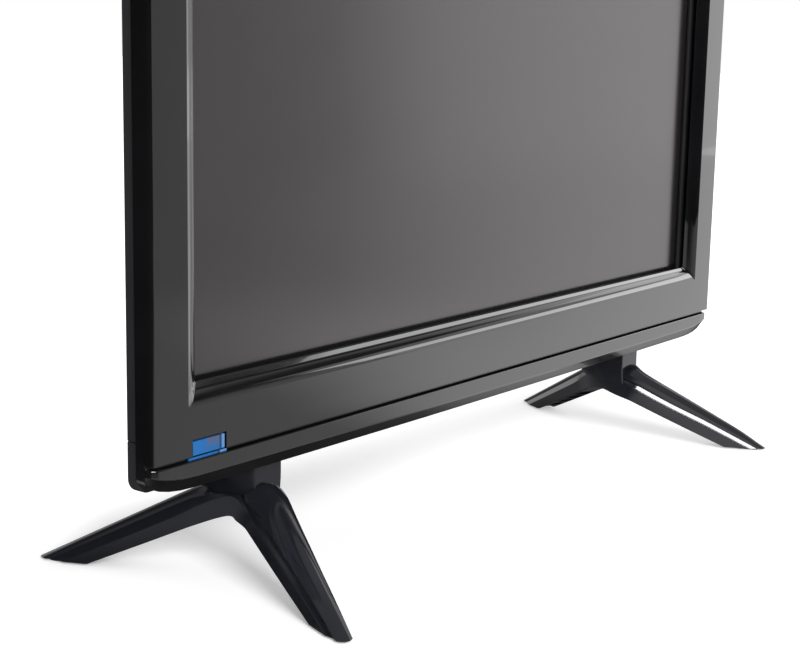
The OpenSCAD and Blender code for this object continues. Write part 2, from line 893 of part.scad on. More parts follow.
module wall_mount_inserts() {
  color("gold") for (x = [-1, 1]) for (z = [-1, 1]) difference() {
    rod_y(x * wall_mount_pitch / 2, mount_z + z * wall_mount_pitch / 2,
      back_y - insert_length + seat, back_y, insert_r);
    rod_y(x * wall_mount_pitch / 2, mount_z + z * wall_mount_pitch / 2,
      back_y - insert_length, back_y + past, insert_bore_r);
  }
}

module panel_front_frame() {
  color("gray") difference() {
    slab(frame_y, plate_y - seat) screen_rect(module_w, module_h);
    slab(frame_y + frame_t, plate_y + past) screen_rect(module_w - 2 * frame_t, module_h - 2 * frame_t);
    slab(frame_y - past, frame_y + frame_t + past)
      screen_rect(open_w + 2 * window_reveal, open_h + 2 * window_reveal);
  }
}

module lcd_cell() {
  color("darkslategray") slab(cell_y, cell_y + cell_t) screen_rect(cell_w, cell_h);
}

module panel_middle_frame() {
  color("white") difference() {
    slab(middle_y, plate_y - seat)
      screen_rect(module_w - 2 * frame_t - 2 * slack, module_h - 2 * frame_t - 2 * slack);
    slab(middle_y - past, plate_y + past)
      screen_rect(screen_width + 2 * ledge_edge, screen_height + 2 * ledge_edge);
    slab(middle_y + ledge_t, plate_y + past)
      screen_rect(film_w + 2 * pocket_gap, film_h + 2 * (pocket_gap + led_bar_h + led_bar_gap));
  }
}

module prism_sheet() {
  color("lightgray") slab(prism_y, prism_y + film_t) screen_rect(film_w, film_h);
}

module diffuser_sheet() {
  color("whitesmoke") slab(diffuser_y, diffuser_y + film_t) screen_rect(film_w, film_h);
}

module light_guide_plate() {
  color("lightcyan") slab(guide_y, guide_y + guide_t) screen_rect(film_w, film_h);
}

module reflector_sheet() {
  color("white") slab(reflector_y, reflector_y + reflector_t) screen_rect(film_w, film_h);
}

module led_bar() {
  bar_top = screen_mid - film_h / 2 - led_bar_gap;
  color("khaki") difference() {
    block(-film_w / 2, film_w / 2, guide_y, guide_y + guide_t, bar_top - led_bar_h, bar_top);
    for (i = [0 : led_count - 1])
      translate([(i - (led_count - 1) / 2) * film_w / led_count, guide_y + guide_t / 2, bar_top])
        cube([led_size, led_size, led_bar_h / 2], center = true);
  }
}

module panel_back_plate() {
  color("silver") slab(plate_y, panel_back) screen_rect(module_w - 2 * frame_t, module_h - 2 * frame_t);
}

module panel_driver_board() {
  color("green") block(-driver_half, driver_half, panel_back + seat, panel_back + seat + driver_t,
    driver_low, driver_high);
}

module board_standoffs() {
  color("gold") both_sides() for (x = board_screw_x) for (z = board_screw_z) difference() {
    rod_y(x, z, panel_back + seat, board_front - seat, pillar_r);
    rod_y(x, z, panel_back + seat + pillar_base, board_front, board_screw_r + screw_gap);
  }
}

module board_screws() {
  color("silver") both_sides() for (x = board_screw_x) for (z = board_screw_z) union() {
    rod_y(x, z, board_front - board_screw_bite, part_y + past, board_screw_r);
    rod_y(x, z, board_back + seat / 2, board_back + board_head_t, board_head_r);
  }
}

// A bare board on the right with its four screw holes
module bare_board() {
  difference() {
    block(board_inner, board_half, board_front, board_back, board_low, board_high);
    for (x = board_screw_x) for (z = board_screw_z)
      rod_y(x, z, board_front - past, board_back + past, board_screw_r + slack);
  }
}

module main_board() {
  color("green") bare_board();
}

module main_board_chips() {
  color("black") union() {
    translate([chip_x - chip_size / 2, part_y, chip_z - chip_size / 2]) cube([chip_size, chip_t, chip_size]);
    for (z = [-1, 1])
      translate([memory_x - memory_size / 2, part_y, chip_z + z * memory_size - memory_size / 2])
        cube([memory_size, chip_t, memory_size - memory_gap]);
  }
}

module processor_heatsink() {
  low_y = part_y + chip_t + seat;
  fin_pitch = (sink_size - sink_fin_t) / (sink_fins - 1);
  color("lightgray") translate([chip_x - sink_size / 2, low_y, chip_z - sink_size / 2]) union() {
    cube([sink_size, sink_base, sink_size]);
    for (i = [0 : sink_fins - 1])
      translate([i * fin_pitch, 0, 0]) cube([sink_fin_t, sink_base + sink_fin_h, sink_size]);
  }
}

module tuner_can() {
  color("silver") difference() {
    block(tuner_right - tuner_w, tuner_right, part_y, part_y + tuner_t, tuner_low, tuner_low + tuner_h);
    rod_x(aerial_mid, aerial_z, tuner_right - aerial_wall, tuner_right + past, aerial_bore_r);
  }
}

module antenna_socket() {
  color("silver") union() {
    difference() {
      rod_x(aerial_mid, aerial_z, tuner_right + seat, aerial_end, aerial_r);
      rod_x(aerial_mid, aerial_z, tuner_right + seat + aerial_wall, aerial_end + past, aerial_bore_r);
    }
    difference() {
      rod_x(aerial_mid, aerial_z, tuner_right + seat, aerial_pin_end, aerial_pin_r);
      rod_x(aerial_mid, aerial_z, aerial_pin_end - aerial_pin_depth, aerial_end, aerial_pin_bore_r);
    }
  }
}

// A flat socket on the main board with a tongue in its opening
module flat_socket(z, w, h, length, mouth_w, mouth_h, depth, tongue_w, tongue_t) {
  mid = part_y + h / 2;
  difference() {
    block(socket_face - length, socket_face, part_y, part_y + h, z - w / 2, z + w / 2);
    block(socket_face - depth, socket_face + past, mid - mouth_h / 2, mid + mouth_h / 2,
      z - mouth_w / 2, z + mouth_w / 2);
  }
  block(socket_face - depth - past, socket_face - tongue_set, mid - tongue_t / 2, mid + tongue_t / 2,
    z - tongue_w / 2, z + tongue_w / 2);
}

module hdmi_sockets() {
  color("silver") for (z = hdmi_z)
    flat_socket(z, hdmi_w, hdmi_h, hdmi_length, hdmi_open_w, hdmi_open_h, hdmi_open_depth,
      hdmi_tongue_w, hdmi_tongue_t);
}

module usb_socket() {
  color("silver")
    flat_socket(usb_z, usb_w, usb_h, usb_length, usb_open_w, usb_open_h, usb_open_depth,
      usb_tongue_w, usb_tongue_t);
}

module audio_jacks() {
  body_face = bay_near - bay_wall - slack;
  color("black") for (z = jack_z) difference() {
    union() {
      block(body_face - jack_length, body_face, part_y, part_y + jack_body,
        z - jack_body / 2, z + jack_body / 2);
      rod_x(jack_mid, z, body_face - past, bay_near + jack_nose, jack_nose_r);
    }
    rod_x(jack_mid, z, bay_near + jack_nose - jack_depth, bay_near + jack_nose + past, jack_r);
  }
}

module panel_ribbon() {
  foot_y = panel_back + seat + driver_t + seat;
  color("tan") translate([ribbon_x, 0, 0]) rotate([90, 0, 90]) linear_extrude(ribbon_w) polygon([
    [foot_y, ribbon_foot], [part_y + ribbon_t, ribbon_foot], [part_y + ribbon_t, ribbon_top],
    [part_y, ribbon_top], [part_y, ribbon_foot + ribbon_t], [foot_y, ribbon_foot + ribbon_t]
  ]);
}

module power_board() {
  color("darkgoldenrod") mirror([1, 0, 0]) bare_board();
}

module transformer() {
  color("gold") union() {
    translate([transformer_x - transformer_w / 2, part_y, transformer_z - transformer_h / 2])
      cube([transformer_w, transformer_t, transformer_h]);
    translate([transformer_x - bobbin_w / 2, part_y, transformer_z - bobbin_h / 2])
      cube([bobbin_w, bobbin_t, bobbin_h]);
  }
}

module mains_capacitor() {
  color("navy") translate([capacitor_x, part_y + capacitor_r, capacitor_z])
    cylinder(h = capacitor_length, r = capacitor_r);
}

module power_inlet() {
  color("black") difference() {
    block(-socket_face, -socket_face + inlet_length, part_y, part_y + inlet_h,
      inlet_z - inlet_w / 2, inlet_z + inlet_w / 2);
    for (z = [-1, 1])
      rod_x(inlet_mid, inlet_z + z * inlet_pitch / 2, -socket_face - past, -socket_face + inlet_depth,
        inlet_open_r);
    block(-socket_face - past, -socket_face + inlet_depth, inlet_mid - inlet_open_r, inlet_mid + inlet_open_r,
      inlet_z - inlet_pitch / 2, inlet_z + inlet_pitch / 2);
    for (z = [-1, 1])
      rod_x(inlet_mid, inlet_z + z * inlet_pitch / 2, -socket_face, -socket_face + inlet_length - inlet_base,
        inlet_pin_r + screw_gap);
  }
}

module power_inlet_pins() {
  color("silver") for (z = [-1, 1])
    rod_x(inlet_mid, inlet_z + z * inlet_pitch / 2, -socket_face + inlet_depth - inlet_pin_length,
      -socket_face + inlet_length - inlet_base, inlet_pin_r);
}

// The speaker box on the right
module speaker_box() {
  color("black") difference() {
    block(speaker_x - speaker_w / 2, speaker_x + speaker_w / 2, speaker_front, speaker_back,
      speaker_low, speaker_high);
    block(
      speaker_x - speaker_w / 2 + speaker_wall, speaker_x + speaker_w / 2 - speaker_wall,
      speaker_front + speaker_wall, speaker_back - speaker_wall,
      speaker_low + speaker_wall, speaker_high - speaker_wall
    );
    translate([speaker_x, speaker_mid, speaker_low - past])
      cylinder(h = speaker_wall + 2 * past, r = cone_r + free);
  }
}

// The magnet on the right, hung under the top of its box
module speaker_magnet() {
  color("silver") translate([speaker_x, speaker_mid, magnet_low]) difference() {
    cylinder(h = speaker_high - speaker_wall - seat - magnet_low, r = magnet_r);
    difference() {
      translate([0, 0, -past]) cylinder(h = magnet_slot, r = magnet_slot_r);
      translate([0, 0, -2 * past]) cylinder(h = magnet_slot + 4 * past, r = magnet_pole_r);
    }
  }
}

// The cone and its coil on the right
module speaker_cone() {
  color("dimgray") translate([speaker_x, speaker_mid, cone_front]) rotate_extrude() polygon([
    [0, cone_h - 2 * cone_t], [cone_throat_r - coil_t, cone_h - 2 * cone_t], [cone_r - 2 * cone_t, 0],
    [cone_r, 0], [cone_r, cone_t], [cone_r - 2 * cone_t, cone_t], [cone_throat_r, cone_h],
    [cone_throat_r, cone_h + coil_h], [cone_throat_r - coil_t, cone_h + coil_h],
    [cone_throat_r - coil_t, cone_h - cone_t], [0, cone_h - cone_t]
  ]);
}

module speaker_box_left() { mirror([1, 0, 0]) speaker_box(); }
module speaker_magnet_left() { mirror([1, 0, 0]) speaker_magnet(); }
module speaker_cone_left() { mirror([1, 0, 0]) speaker_cone(); }
module speaker_box_right() { speaker_box(); }
module speaker_magnet_right() { speaker_magnet(); }
module speaker_cone_right() { speaker_cone(); }

module remote_board() {
  color("green") block(remote_x - remote_board_w / 2, remote_x + remote_board_w / 2,
    remote_board_front, remote_board_front + remote_board_t, remote_low, remote_low + remote_board_h);
}

module remote_receiver() {
  body_back = remote_board_front - seat;
  color("black") union() {
    block(remote_x - receiver_w / 2, remote_x + receiver_w / 2, body_back - receiver_t, body_back,
      remote_z - receiver_h / 2, remote_z + receiver_h / 2);
    rod_y(remote_x, remote_z, receiver_front, body_back - receiver_t + past, receiver_r);
  }
}

module key_board() {
  color("green") difference() {
    block(key_board_x0, key_board_x1, key_board_front, key_board_back,
      key_z - key_board_h / 2, key_z + key_board_h / 2);
    for (x = [key_board_x0 + key_post_inset, key_board_x1 - key_post_inset])
      rod_y(x, key_z, key_board_front - past, key_board_back + past, key_post_pin_r + screw_gap);
  }
}

module key_switch_bodies() {
  color("black") for (i = [0 : len(key_names) - 1]) difference() {
    block(key_x(i) - switch_body / 2, key_x(i) + switch_body / 2, switch_front, switch_back,
      key_z - switch_body / 2, key_z + switch_body / 2);
    rod_y(key_x(i), key_z, switch_back - switch_bore, switch_back + past, plunger_r + plunger_fit);
  }
}

// A key cap with its flange and stem
module key(i) {
  color("dimgray") translate([key_x(i), 0, key_z]) union() {
    block(-key_w / 2, key_w / 2, key_rest - past, back_y + key_proud, -key_h / 2, key_h / 2);
    block(-key_w / 2 - key_flange, key_w / 2 + key_flange, key_rest - key_flange_t, key_rest,
      -key_h / 2 - key_flange, key_h / 2 + key_flange);
    rod_y(0, 0, plunger_top + seat / 2, key_rest - key_flange_t + past, key_stem_r);
  }
}

// The plunger of a key switch
module plunger(i) {
  color("ivory") rod_y(key_x(i), key_z, switch_back - plunger_depth, plunger_top, plunger_r);
}

module key_power() { key(0); }
module key_channel_up() { key(1); }
module key_channel_down() { key(2); }
module key_volume_up() { key(3); }
module key_volume_down() { key(4); }
module plunger_power() { plunger(0); }
module plunger_channel_up() { plunger(1); }
module plunger_channel_down() { plunger(2); }
module plunger_volume_up() { plunger(3); }
module plunger_volume_down() { plunger(4); }

front_bezel();
chin_trim();
remote_window();
rear_cover();
stand_left();
stand_right();
foot_pads();
stand_screws();
cover_screws();
wall_mount_inserts();
panel_front_frame();
lcd_cell();
panel_middle_frame();
prism_sheet();
diffuser_sheet();
light_guide_plate();
reflector_sheet();
led_bar();
panel_back_plate();
panel_driver_board();
board_standoffs();
board_screws();
main_board();
main_board_chips();
processor_heatsink();
tuner_can();
antenna_socket();
hdmi_sockets();
usb_socket();
audio_jacks();
panel_ribbon();
power_board();
transformer();
mains_capacitor();
power_inlet();
power_inlet_pins();
speaker_box_left();
speaker_magnet_left();
speaker_cone_left();
speaker_box_right();
speaker_magnet_right();
speaker_cone_right();
remote_board();
remote_receiver();
key_board();
key_switch_bodies();
key_power();
key_channel_up();
key_channel_down();
key_volume_up();
key_volume_down();
plunger_power();
plunger_channel_up();
plunger_channel_down();
plunger_volume_up();
plunger_volume_down();
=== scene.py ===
from functools import reduce
from math import cos, pi, radians, sin, sqrt

import bmesh
import bpy
from bpy.props import FloatProperty, FloatVectorProperty, PointerProperty
from mathutils import Matrix, Vector


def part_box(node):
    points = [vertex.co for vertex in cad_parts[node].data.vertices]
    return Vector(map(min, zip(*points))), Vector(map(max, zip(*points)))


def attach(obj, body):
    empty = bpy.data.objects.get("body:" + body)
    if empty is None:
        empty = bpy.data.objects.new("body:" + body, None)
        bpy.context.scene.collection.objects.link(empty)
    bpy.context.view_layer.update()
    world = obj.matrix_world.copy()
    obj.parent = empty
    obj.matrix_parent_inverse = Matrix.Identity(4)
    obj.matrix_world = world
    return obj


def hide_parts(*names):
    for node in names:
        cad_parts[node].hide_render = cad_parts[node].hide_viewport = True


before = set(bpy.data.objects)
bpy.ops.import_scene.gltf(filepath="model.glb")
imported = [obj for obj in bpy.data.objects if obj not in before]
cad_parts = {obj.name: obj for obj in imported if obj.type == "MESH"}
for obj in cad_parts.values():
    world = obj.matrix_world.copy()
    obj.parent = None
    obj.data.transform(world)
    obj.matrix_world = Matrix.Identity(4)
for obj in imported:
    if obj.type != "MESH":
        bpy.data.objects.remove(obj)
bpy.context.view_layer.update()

bl_info = {
    "name": "Flat Screen Television",
    "version": (1, 0, 0),
    "blender": (4, 5, 0),
    "location": "View3D > Sidebar > Television",
    "description": "Builds the visible pieces, finishes and studio of a small television on two stands",
    "category": "Object",
}

CABINET = "cabinet"
KEYS = ("power", "channel_up", "channel_down", "volume_up", "volume_down")
MM = 0.001
WELD = 1e-6
NEAR = 3e-5
ORDER_STEP = 1e-7
# Where a ring face stays split, because a face with a hole in it cannot be kept whole
RING_SPLIT = 31.0 * MM
FLAT_ANGLE, SHARP_ANGLE, SMOOTH_ANGLE = radians(0.5), radians(10), radians(32)
NORMAL_WEIGHT = 80


# Settings

def length(name, description, default):
    """A length that a user may change, with its default in millimetres."""
    return FloatProperty(name=name, description=description, default=default * MM, unit="LENGTH", precision=5)


def number(name, description, default, subtype="NONE"):
    """A number, angle or power that a user may change."""
    return FloatProperty(name=name, description=description, default=default, subtype=subtype)


def colour(name, description, default):
    """A linear colour that a user may change."""
    return FloatVectorProperty(
        name=name, description=description, default=default, subtype="COLOR", size=3, min=0.0, max=1.0)


class TelevisionSizes(bpy.types.PropertyGroup):
    """Roundings and small forms that the visible pieces add to the solids."""

    face_round: length("Face edge", "Rounding of the outer front edge of the frame", 1.4)
    mitre_round: length("Surround corners", "Fillet in the corners of the sloping surround", 2.0)
    lip_rise: length("Surround lip", "How far the inner lip of the surround stands forward of its solid", 3.9)
    crease_round: length("Surround crease", "Rounding of the crease in the sloping surround", 3.0)
    slope_round: length("Surround edges", "Rounding of the long edges of the sloping surround", 0.5)
    chin_round: length("Chin edge", "Rounding of the lower edge of the chin", 0.35)
    trim_round: length("Trim edges", "Rounding of the front edges of the trim strip", 0.6)
    trim_end_round: length("Trim ends", "Rounding of the two ends of the trim strip", 4.6)
    trim_wrap: length("Trim wrap", "Reach of the trim strip round the corners of the frame", 1.9)
    rim_round: length("Rim edge", "Rounding of the rear edge of the cover's rim", 0.35)
    hump_round: length("Hump edge", "Rounding of the rear edges of the cover", 2.4)
    slant_depth: length("Slant", "Depth of the slanted lower part of the trim strip", 1.9)
    tongue_depth: length("Tongue depth", "Set back of the trim's tongue in the groove", 2.2)
    tongue_rise: length("Tongue height", "Height of the trim's tongue in the groove", 0.8)
    window_gap: length("Window gap", "Extra gap on the right of the tinted window", 0.8)
    window_round: length("Window edges", "Rounding of the tinted window", 0.3)
    bar_edge: length("Bar edges", "Rounding of the edges of the stand bars", 0.5)
    neck_round: length("Neck edges", "Rounding of the upright edges of the necks", 0.8)
    key_round: length("Key edges", "Rounding of the key caps", 0.5)


class TelevisionColours(bpy.types.PropertyGroup):
    """Base colours of the finishes that show."""

    gloss_black: colour("Gloss black", "Polished black plastic of the frame", (0.004, 0.004, 0.0045))
    stand_black: colour("Stand black", "Polished black plastic of the stands", (0.0095, 0.010, 0.0135))
    matte_grey: colour("Matte grey", "Grained plastic of the rear cover", (0.011, 0.011, 0.0135))
    screen_grey: colour("Screen", "Matte front of the screen", (0.012, 0.0108, 0.0116))
    window_blue: colour("Window blue", "Tinted window of the remote control receiver", (0.006, 0.09, 0.27))
    rubber: colour("Rubber", "Foot pads", (0.03, 0.03, 0.03))
    steel: colour("Steel", "Screws and sheet metal", (0.56, 0.56, 0.57))
    brass: colour("Brass", "Threaded inserts and pillars", (0.72, 0.53, 0.26))
    board_green: colour("Board green", "Solder mask of the circuit boards", (0.012, 0.10, 0.035))


class TelevisionStage(bpy.types.PropertyGroup):
    """Camera, light and floor."""

    camera_place: FloatVectorProperty(
        name="Camera", description="Place of the camera", default=(-0.65579, -0.4577, 0.2421), subtype="XYZ",
        size=3)
    yaw: number("Yaw", "Turn of the view from straight back to the right", radians(52.958), "ANGLE")
    pitch: number("Pitch", "Tilt of the view downwards", radians(10.9085), "ANGLE")
    roll: number("Roll", "Roll of the view", radians(1.13407), "ANGLE")
    lens: number("Lens", "Focal length on a 36 mm sensor", 72.502, "DISTANCE_CAMERA")
    room_light: number("Room light", "Strength of the even light of the room", 0.55)
    key_power: number("Key light", "Power of the soft light above the camera", 30.0, "POWER")
    side_power: number("Side light", "Power of the soft light on the right", 3.0, "POWER")
    strip_power: number("Strip light", "Power of the narrow light over the right one", 2.4, "POWER")
    floor_colour: colour("Floor", "Pale floor", (0.86, 0.86, 0.86))
    floor_lift: number("Floor lift", "Extra white that only the view adds to the floor", 0.24)


# Nodes and shared effects

DUST = (0.32, 0.31, 0.3, 1.0)
PLASTIC_IOR = 1.5
# Grain: scale and detail of its slow part, and the spans of noise that make its shade and its roughness
GRAIN_SLOW, SHADE_SPAN, ROUGH_SPAN = (22.0, 4.0), (0.3, 0.7), (0.35, 0.65)
# Dust: span of a speck's edge, scale and span of the patches in which specks gather, and how much rougher it is
SPECK_SPAN, PATCH_SCALE, PATCH_SPAN, DUST_ROUGH = (0.05, 0.13), 60.0, (0.5, 0.72), 0.5
# Board: length of a field between tracks and width of a track in pitches, and how much of the copper shows
TRACK_LONG, TRACK_WIDE, COPPER_SHARE = 3, 0.09, 0.6


class Nodes:
    """Short calls for the nodes of one shader tree."""

    def __init__(self, tree):
        self.tree = tree

    def fill(self, node, values):
        """Link or set some inputs of a node."""
        for label, value in values.items():
            if hasattr(value, "is_output"):
                self.tree.links.new(value, node.inputs[label])
            else:
                node.inputs[label].default_value = value
        return node

    def add(self, kind, values=None, **settings):
        """A new node with its settings and inputs."""
        node = self.tree.nodes.new("ShaderNode" + kind)
        for label, value in settings.items():
            setattr(node, label, value)
        return self.fill(node, values or {})

    def calc(self, operation, *values):
        """One math node."""
        return self.add("Math", dict(enumerate(values)), operation=operation).outputs[0]

    def product(self, *values):
        """Some values multiplied."""
        return reduce(lambda first, second: self.calc("MULTIPLY", first, second), values)

    def peak(self, *values):
        """The highest of some values."""
        return reduce(lambda first, second: self.calc("MAXIMUM", first, second), values)

    def line(self, value, low, high, start, end, curve="LINEAR"):
        """A clamped straight map from one range to another."""
        ranges = {"Value": value, "From Min": low, "From Max": high, "To Min": start, "To Max": end}
        return self.add("MapRange", ranges, interpolation_type=curve).outputs["Result"]

    def ramp(self, value, low, high, start, end):
        """A clamped smooth map from one range to another."""
        return self.line(value, low, high, start, end, "SMOOTHSTEP")

    def ramps(self, table, values):
        """Named smooth maps of some values."""
        return {name: self.ramp(values[source], *ranges) for name, (source, *ranges) in table.items()}

    def mixed(self, mask, first, second):
        """A colour mix by a mask."""
        return self.add("Mix", {"Factor": mask, "A": first, "B": second}, data_type="RGBA").outputs["Result"]

    def either(self, mask, first, second):
        """A shader mix by a mask."""
        return self.add("MixShader", {0: mask, 1: first, 2: second}).outputs[0]

    def noise(self, vector, scale, detail=3.0):
        """A noise texture on a vector."""
        values = {"Vector": vector, "Scale": scale, "Detail": detail, "Roughness": 0.55}
        return self.add("TexNoise", values).outputs["Fac"]

    def axes(self, vector):
        """The three numbers of a vector."""
        return self.add("SeparateXYZ", {"Vector": vector}).outputs[:]

    def bump(self, height, strength, distance):
        """A relief from a height."""
        values = {"Height": height, "Strength": strength, "Distance": distance}
        return self.add("Bump", values).outputs["Normal"]

    def grain(self, point, base, spread, scale, smooth, rough):
        """The outputs of the moulding grain on a colour."""
        return self.add("Group", {
            "Vector": point, "Colour": opaque(base), "Spread": spread, "Scale": scale, "Smooth": smooth,
            "Rough": rough}, node_tree=grain_group()).outputs


def new_group(name, inputs, outputs):
    """An empty shader node group with named sockets: its nodes, what it is given and its output node."""
    group = bpy.data.node_groups.new(name, "ShaderNodeTree")
    for label, kind, value in inputs:
        socket = group.interface.new_socket(name=label, in_out="INPUT", socket_type="NodeSocket" + kind)
        if value is not None:
            socket.default_value = value
    for label, kind in outputs:
        group.interface.new_socket(name=label, in_out="OUTPUT", socket_type="NodeSocket" + kind)
    return Nodes(group), group.nodes.new("NodeGroupInput").outputs, group.nodes.new("NodeGroupOutput")


def grain_group():
    """Moulding grain: a slightly uneven colour, roughness and height."""
    if "moulding_grain" in bpy.data.node_groups:
        return bpy.data.node_groups["moulding_grain"]
    nodes, given, leave = new_group(
        "moulding_grain",
        (("Vector", "Vector", None), ("Colour", "Color", None), ("Spread", "Float", 0.1),
         ("Scale", "Float", 900.0), ("Smooth", "Float", 0.2), ("Rough", "Float", 0.4)),
        (("Colour", "Color"), ("Roughness", "Float"), ("Height", "Float")))
    fine = nodes.noise(given["Vector"], given["Scale"])
    slow = nodes.noise(given["Vector"], *GRAIN_SLOW)
    darkest, palest = (nodes.calc(sign, 1.0, given["Spread"]) for sign in ("SUBTRACT", "ADD"))
    shade = nodes.line(slow, *SHADE_SPAN, darkest, palest)
    shaded = {"Vector": given["Colour"], "Scale": shade}
    tint = nodes.add("VectorMath", shaded, operation="SCALE").outputs["Vector"]
    both = nodes.calc("MULTIPLY_ADD", slow, 0.5, nodes.product(fine, 0.5))
    roughness = nodes.line(both, *ROUGH_SPAN, given["Smooth"], given["Rough"])
    nodes.fill(leave, {"Colour": tint, "Roughness": roughness, "Height": fine})
    return nodes.tree


def dust_group():
    """Dust: small pale specks that gather in patches."""
    if "fine_dust" in bpy.data.node_groups:
        return bpy.data.node_groups["fine_dust"]
    nodes, given, leave = new_group(
        "fine_dust", (("Vector", "Vector", None), ("Scale", "Float", 420.0), ("Amount", "Float", 0.5)),
        (("Mask", "Float"),))
    specks = nodes.add("TexVoronoi", {"Vector": given["Vector"], "Scale": given["Scale"]}).outputs["Distance"]
    dots = nodes.ramp(specks, *SPECK_SPAN, 1.0, 0.0)
    patches = nodes.ramp(nodes.noise(given["Vector"], PATCH_SCALE), *PATCH_SPAN, 0.0, 1.0)
    nodes.fill(leave, {"Mask": nodes.product(dots, patches, given["Amount"])})
    return nodes.tree


def opaque(rgb):
    """A colour with full alpha."""
    return (rgb[0], rgb[1], rgb[2], 1.0)


def new_material(name):
    """An empty material with its nodes, its shader and the Object coordinates."""
    material = bpy.data.materials.new(name)
    material.use_nodes = True
    nodes = Nodes(material.node_tree)
    return material, nodes, nodes.tree.nodes["Principled BSDF"], nodes.add("TexCoord").outputs["Object"]


def finish(name, base, smooth, rough, scale=900.0, spread=0.1, bump=0.0, depth=0.05 * MM, metallic=0.0,
           coat=0.0, coat_rough=0.03, dust=0.0, stretch=None):
    """A material with grain and, where asked, dust, a coat and metal."""
    material, nodes, shader, point = new_material(name)
    if stretch:
        point = nodes.add("Mapping", {"Vector": point, "Scale": stretch}).outputs["Vector"]
    grain = nodes.grain(point, base, spread, scale, smooth, rough)
    tint, roughness = grain["Colour"], grain["Roughness"]
    if dust:
        mask = nodes.add("Group", {"Vector": point, "Amount": dust}, node_tree=dust_group()).outputs["Mask"]
        tint = nodes.mixed(mask, tint, DUST)
        roughness = nodes.calc("MULTIPLY_ADD", mask, DUST_ROUGH, roughness)
    nodes.fill(shader, {
        "Base Color": tint, "Roughness": roughness, "Metallic": metallic, "IOR": PLASTIC_IOR,
        "Coat Weight": coat, "Coat Roughness": coat_rough})
    if bump:
        nodes.fill(shader, {"Normal": nodes.bump(grain["Height"], bump, depth)})
    return material


def gloss_finish(name, base, coat, dust=0.0):
    """Polished black plastic."""
    return finish(name, base, 0.04, 0.10, scale=160.0, spread=0.25, bump=0.04, depth=0.02 * MM, coat=coat,
                  coat_rough=0.02, dust=dust)


def matte_finish(name, base):
    """Grained black plastic."""
    return finish(name, base, 0.5, 0.68, scale=1500.0, spread=0.12, bump=0.35, depth=0.06 * MM, dust=0.05)


def board_finish(name, base, copper, pitch):
    """Circuit board with copper tracks under its mask."""
    material, nodes, shader, point = new_material(name)
    turned = nodes.add("Mapping", {"Vector": point, "Rotation": (radians(90), 0.0, 0.0)}).outputs["Vector"]
    tracks = nodes.add("TexBrick", {
        "Vector": turned, "Scale": 1.0, "Brick Width": pitch * TRACK_LONG, "Row Height": pitch,
        "Mortar Size": pitch * TRACK_WIDE}).outputs["Fac"]
    grain = nodes.grain(point, base, spread=0.15, scale=700.0, smooth=0.25, rough=0.4)
    tint = nodes.mixed(nodes.product(tracks, COPPER_SHARE), grain["Colour"], opaque(copper))
    nodes.fill(shader, {"Base Color": tint, "Roughness": grain["Roughness"]})
    return material


# Mesh helpers

def merged_copy(node, ring_depth=None):
    """A copy of a solid's mesh with its triangles joined to flat faces. A ring face at a depth stays split."""
    bm = bmesh.new()
    bm.from_mesh(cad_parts[node].data)
    bmesh.ops.remove_doubles(bm, verts=bm.verts, dist=WELD)

    def in_ring(vert):
        return ring_depth is not None and close(vert.co.y, ring_depth)

    def is_free(vert):
        return not in_ring(vert) or abs(vert.co.x - RING_SPLIT) > WELD

    ring_face = [vert for vert in bm.verts if in_ring(vert)]
    for items in (bm.edges, bm.faces):
        ring_face += [item for item in items if all(in_ring(vert) for vert in item.verts)]
    bmesh.ops.bisect_plane(bm, geom=ring_face, dist=WELD, plane_co=(RING_SPLIT, 0, 0), plane_no=(1, 0, 0))
    bmesh.ops.dissolve_limit(
        bm, angle_limit=FLAT_ANGLE, verts=[vert for vert in bm.verts if is_free(vert)],
        edges=[edge for edge in bm.edges if any(is_free(vert) for vert in edge.verts)])
    return bm


def close(first, second):
    """Whether two numbers give the same place."""
    return abs(first - second) < NEAR


def is_sharp(edge):
    """Whether two faces meet at the edge at an angle."""
    return len(edge.link_faces) == 2 and edge.calc_face_angle(0.0) > SHARP_ANGLE


def settle(bm):
    """Rebuild a bmesh in the order of its places, because rounding leaves its elements in no fixed order."""
    order = sorted(bm.verts, key=lambda vert: [round(value / ORDER_STEP) for value in vert.co])
    rank = {vert: index for index, vert in enumerate(order)}
    places = [vert.co.copy() for vert in order]
    faces = []
    for face in bm.faces:
        loop = [rank[vert] for vert in face.verts]
        start = loop.index(min(loop))
        faces.append(loop[start:] + loop[:start])
    bm.clear()
    verts = [bm.verts.new(place) for place in places]
    for loop in sorted(faces):
        bm.faces.new([verts[index] for index in loop])
    bm.normal_update()


def round_edges(bm, edges, width, segments=3):
    """Round some edges."""
    if not edges:
        raise RuntimeError("no edges were found to round")
    bmesh.ops.bevel(bm, geom=edges, offset=width, offset_type="OFFSET", segments=segments, profile=0.5,
                    affect="EDGES", clamp_overlap=True, material=-1)
    settle(bm)


def round_where(bm, test, width, segments=3):
    """Round the sharp edges whose two ends both pass a test."""
    edges = [edge for edge in bm.edges if is_sharp(edge) and all(test(vert.co) for vert in edge.verts)]
    round_edges(bm, edges, width, segments)


def soften(piece):
    """Shade a piece smooth up to a limit angle, with its flats kept flat."""
    piece.data.shade_smooth()
    piece.data.set_sharp_from_angle(angle=SMOOTH_ANGLE)
    weighted = piece.modifiers.new("flat_normals", "WEIGHTED_NORMAL")
    weighted.keep_sharp = True
    weighted.weight = NORMAL_WEIGHT


def new_object(name, bm, soft=True):
    """An object at the origin from a bmesh."""
    mesh = bpy.data.meshes.new(name)
    bm.to_mesh(mesh)
    bm.free()
    piece = bpy.data.objects.new(name, mesh)
    bpy.context.scene.collection.objects.link(piece)
    if soft:
        soften(piece)
    return piece


def eased(value):
    """A smooth step from 0 to 1."""
    value = min(max(value, 0.0), 1.0)
    return value * value * (3 - 2 * value)


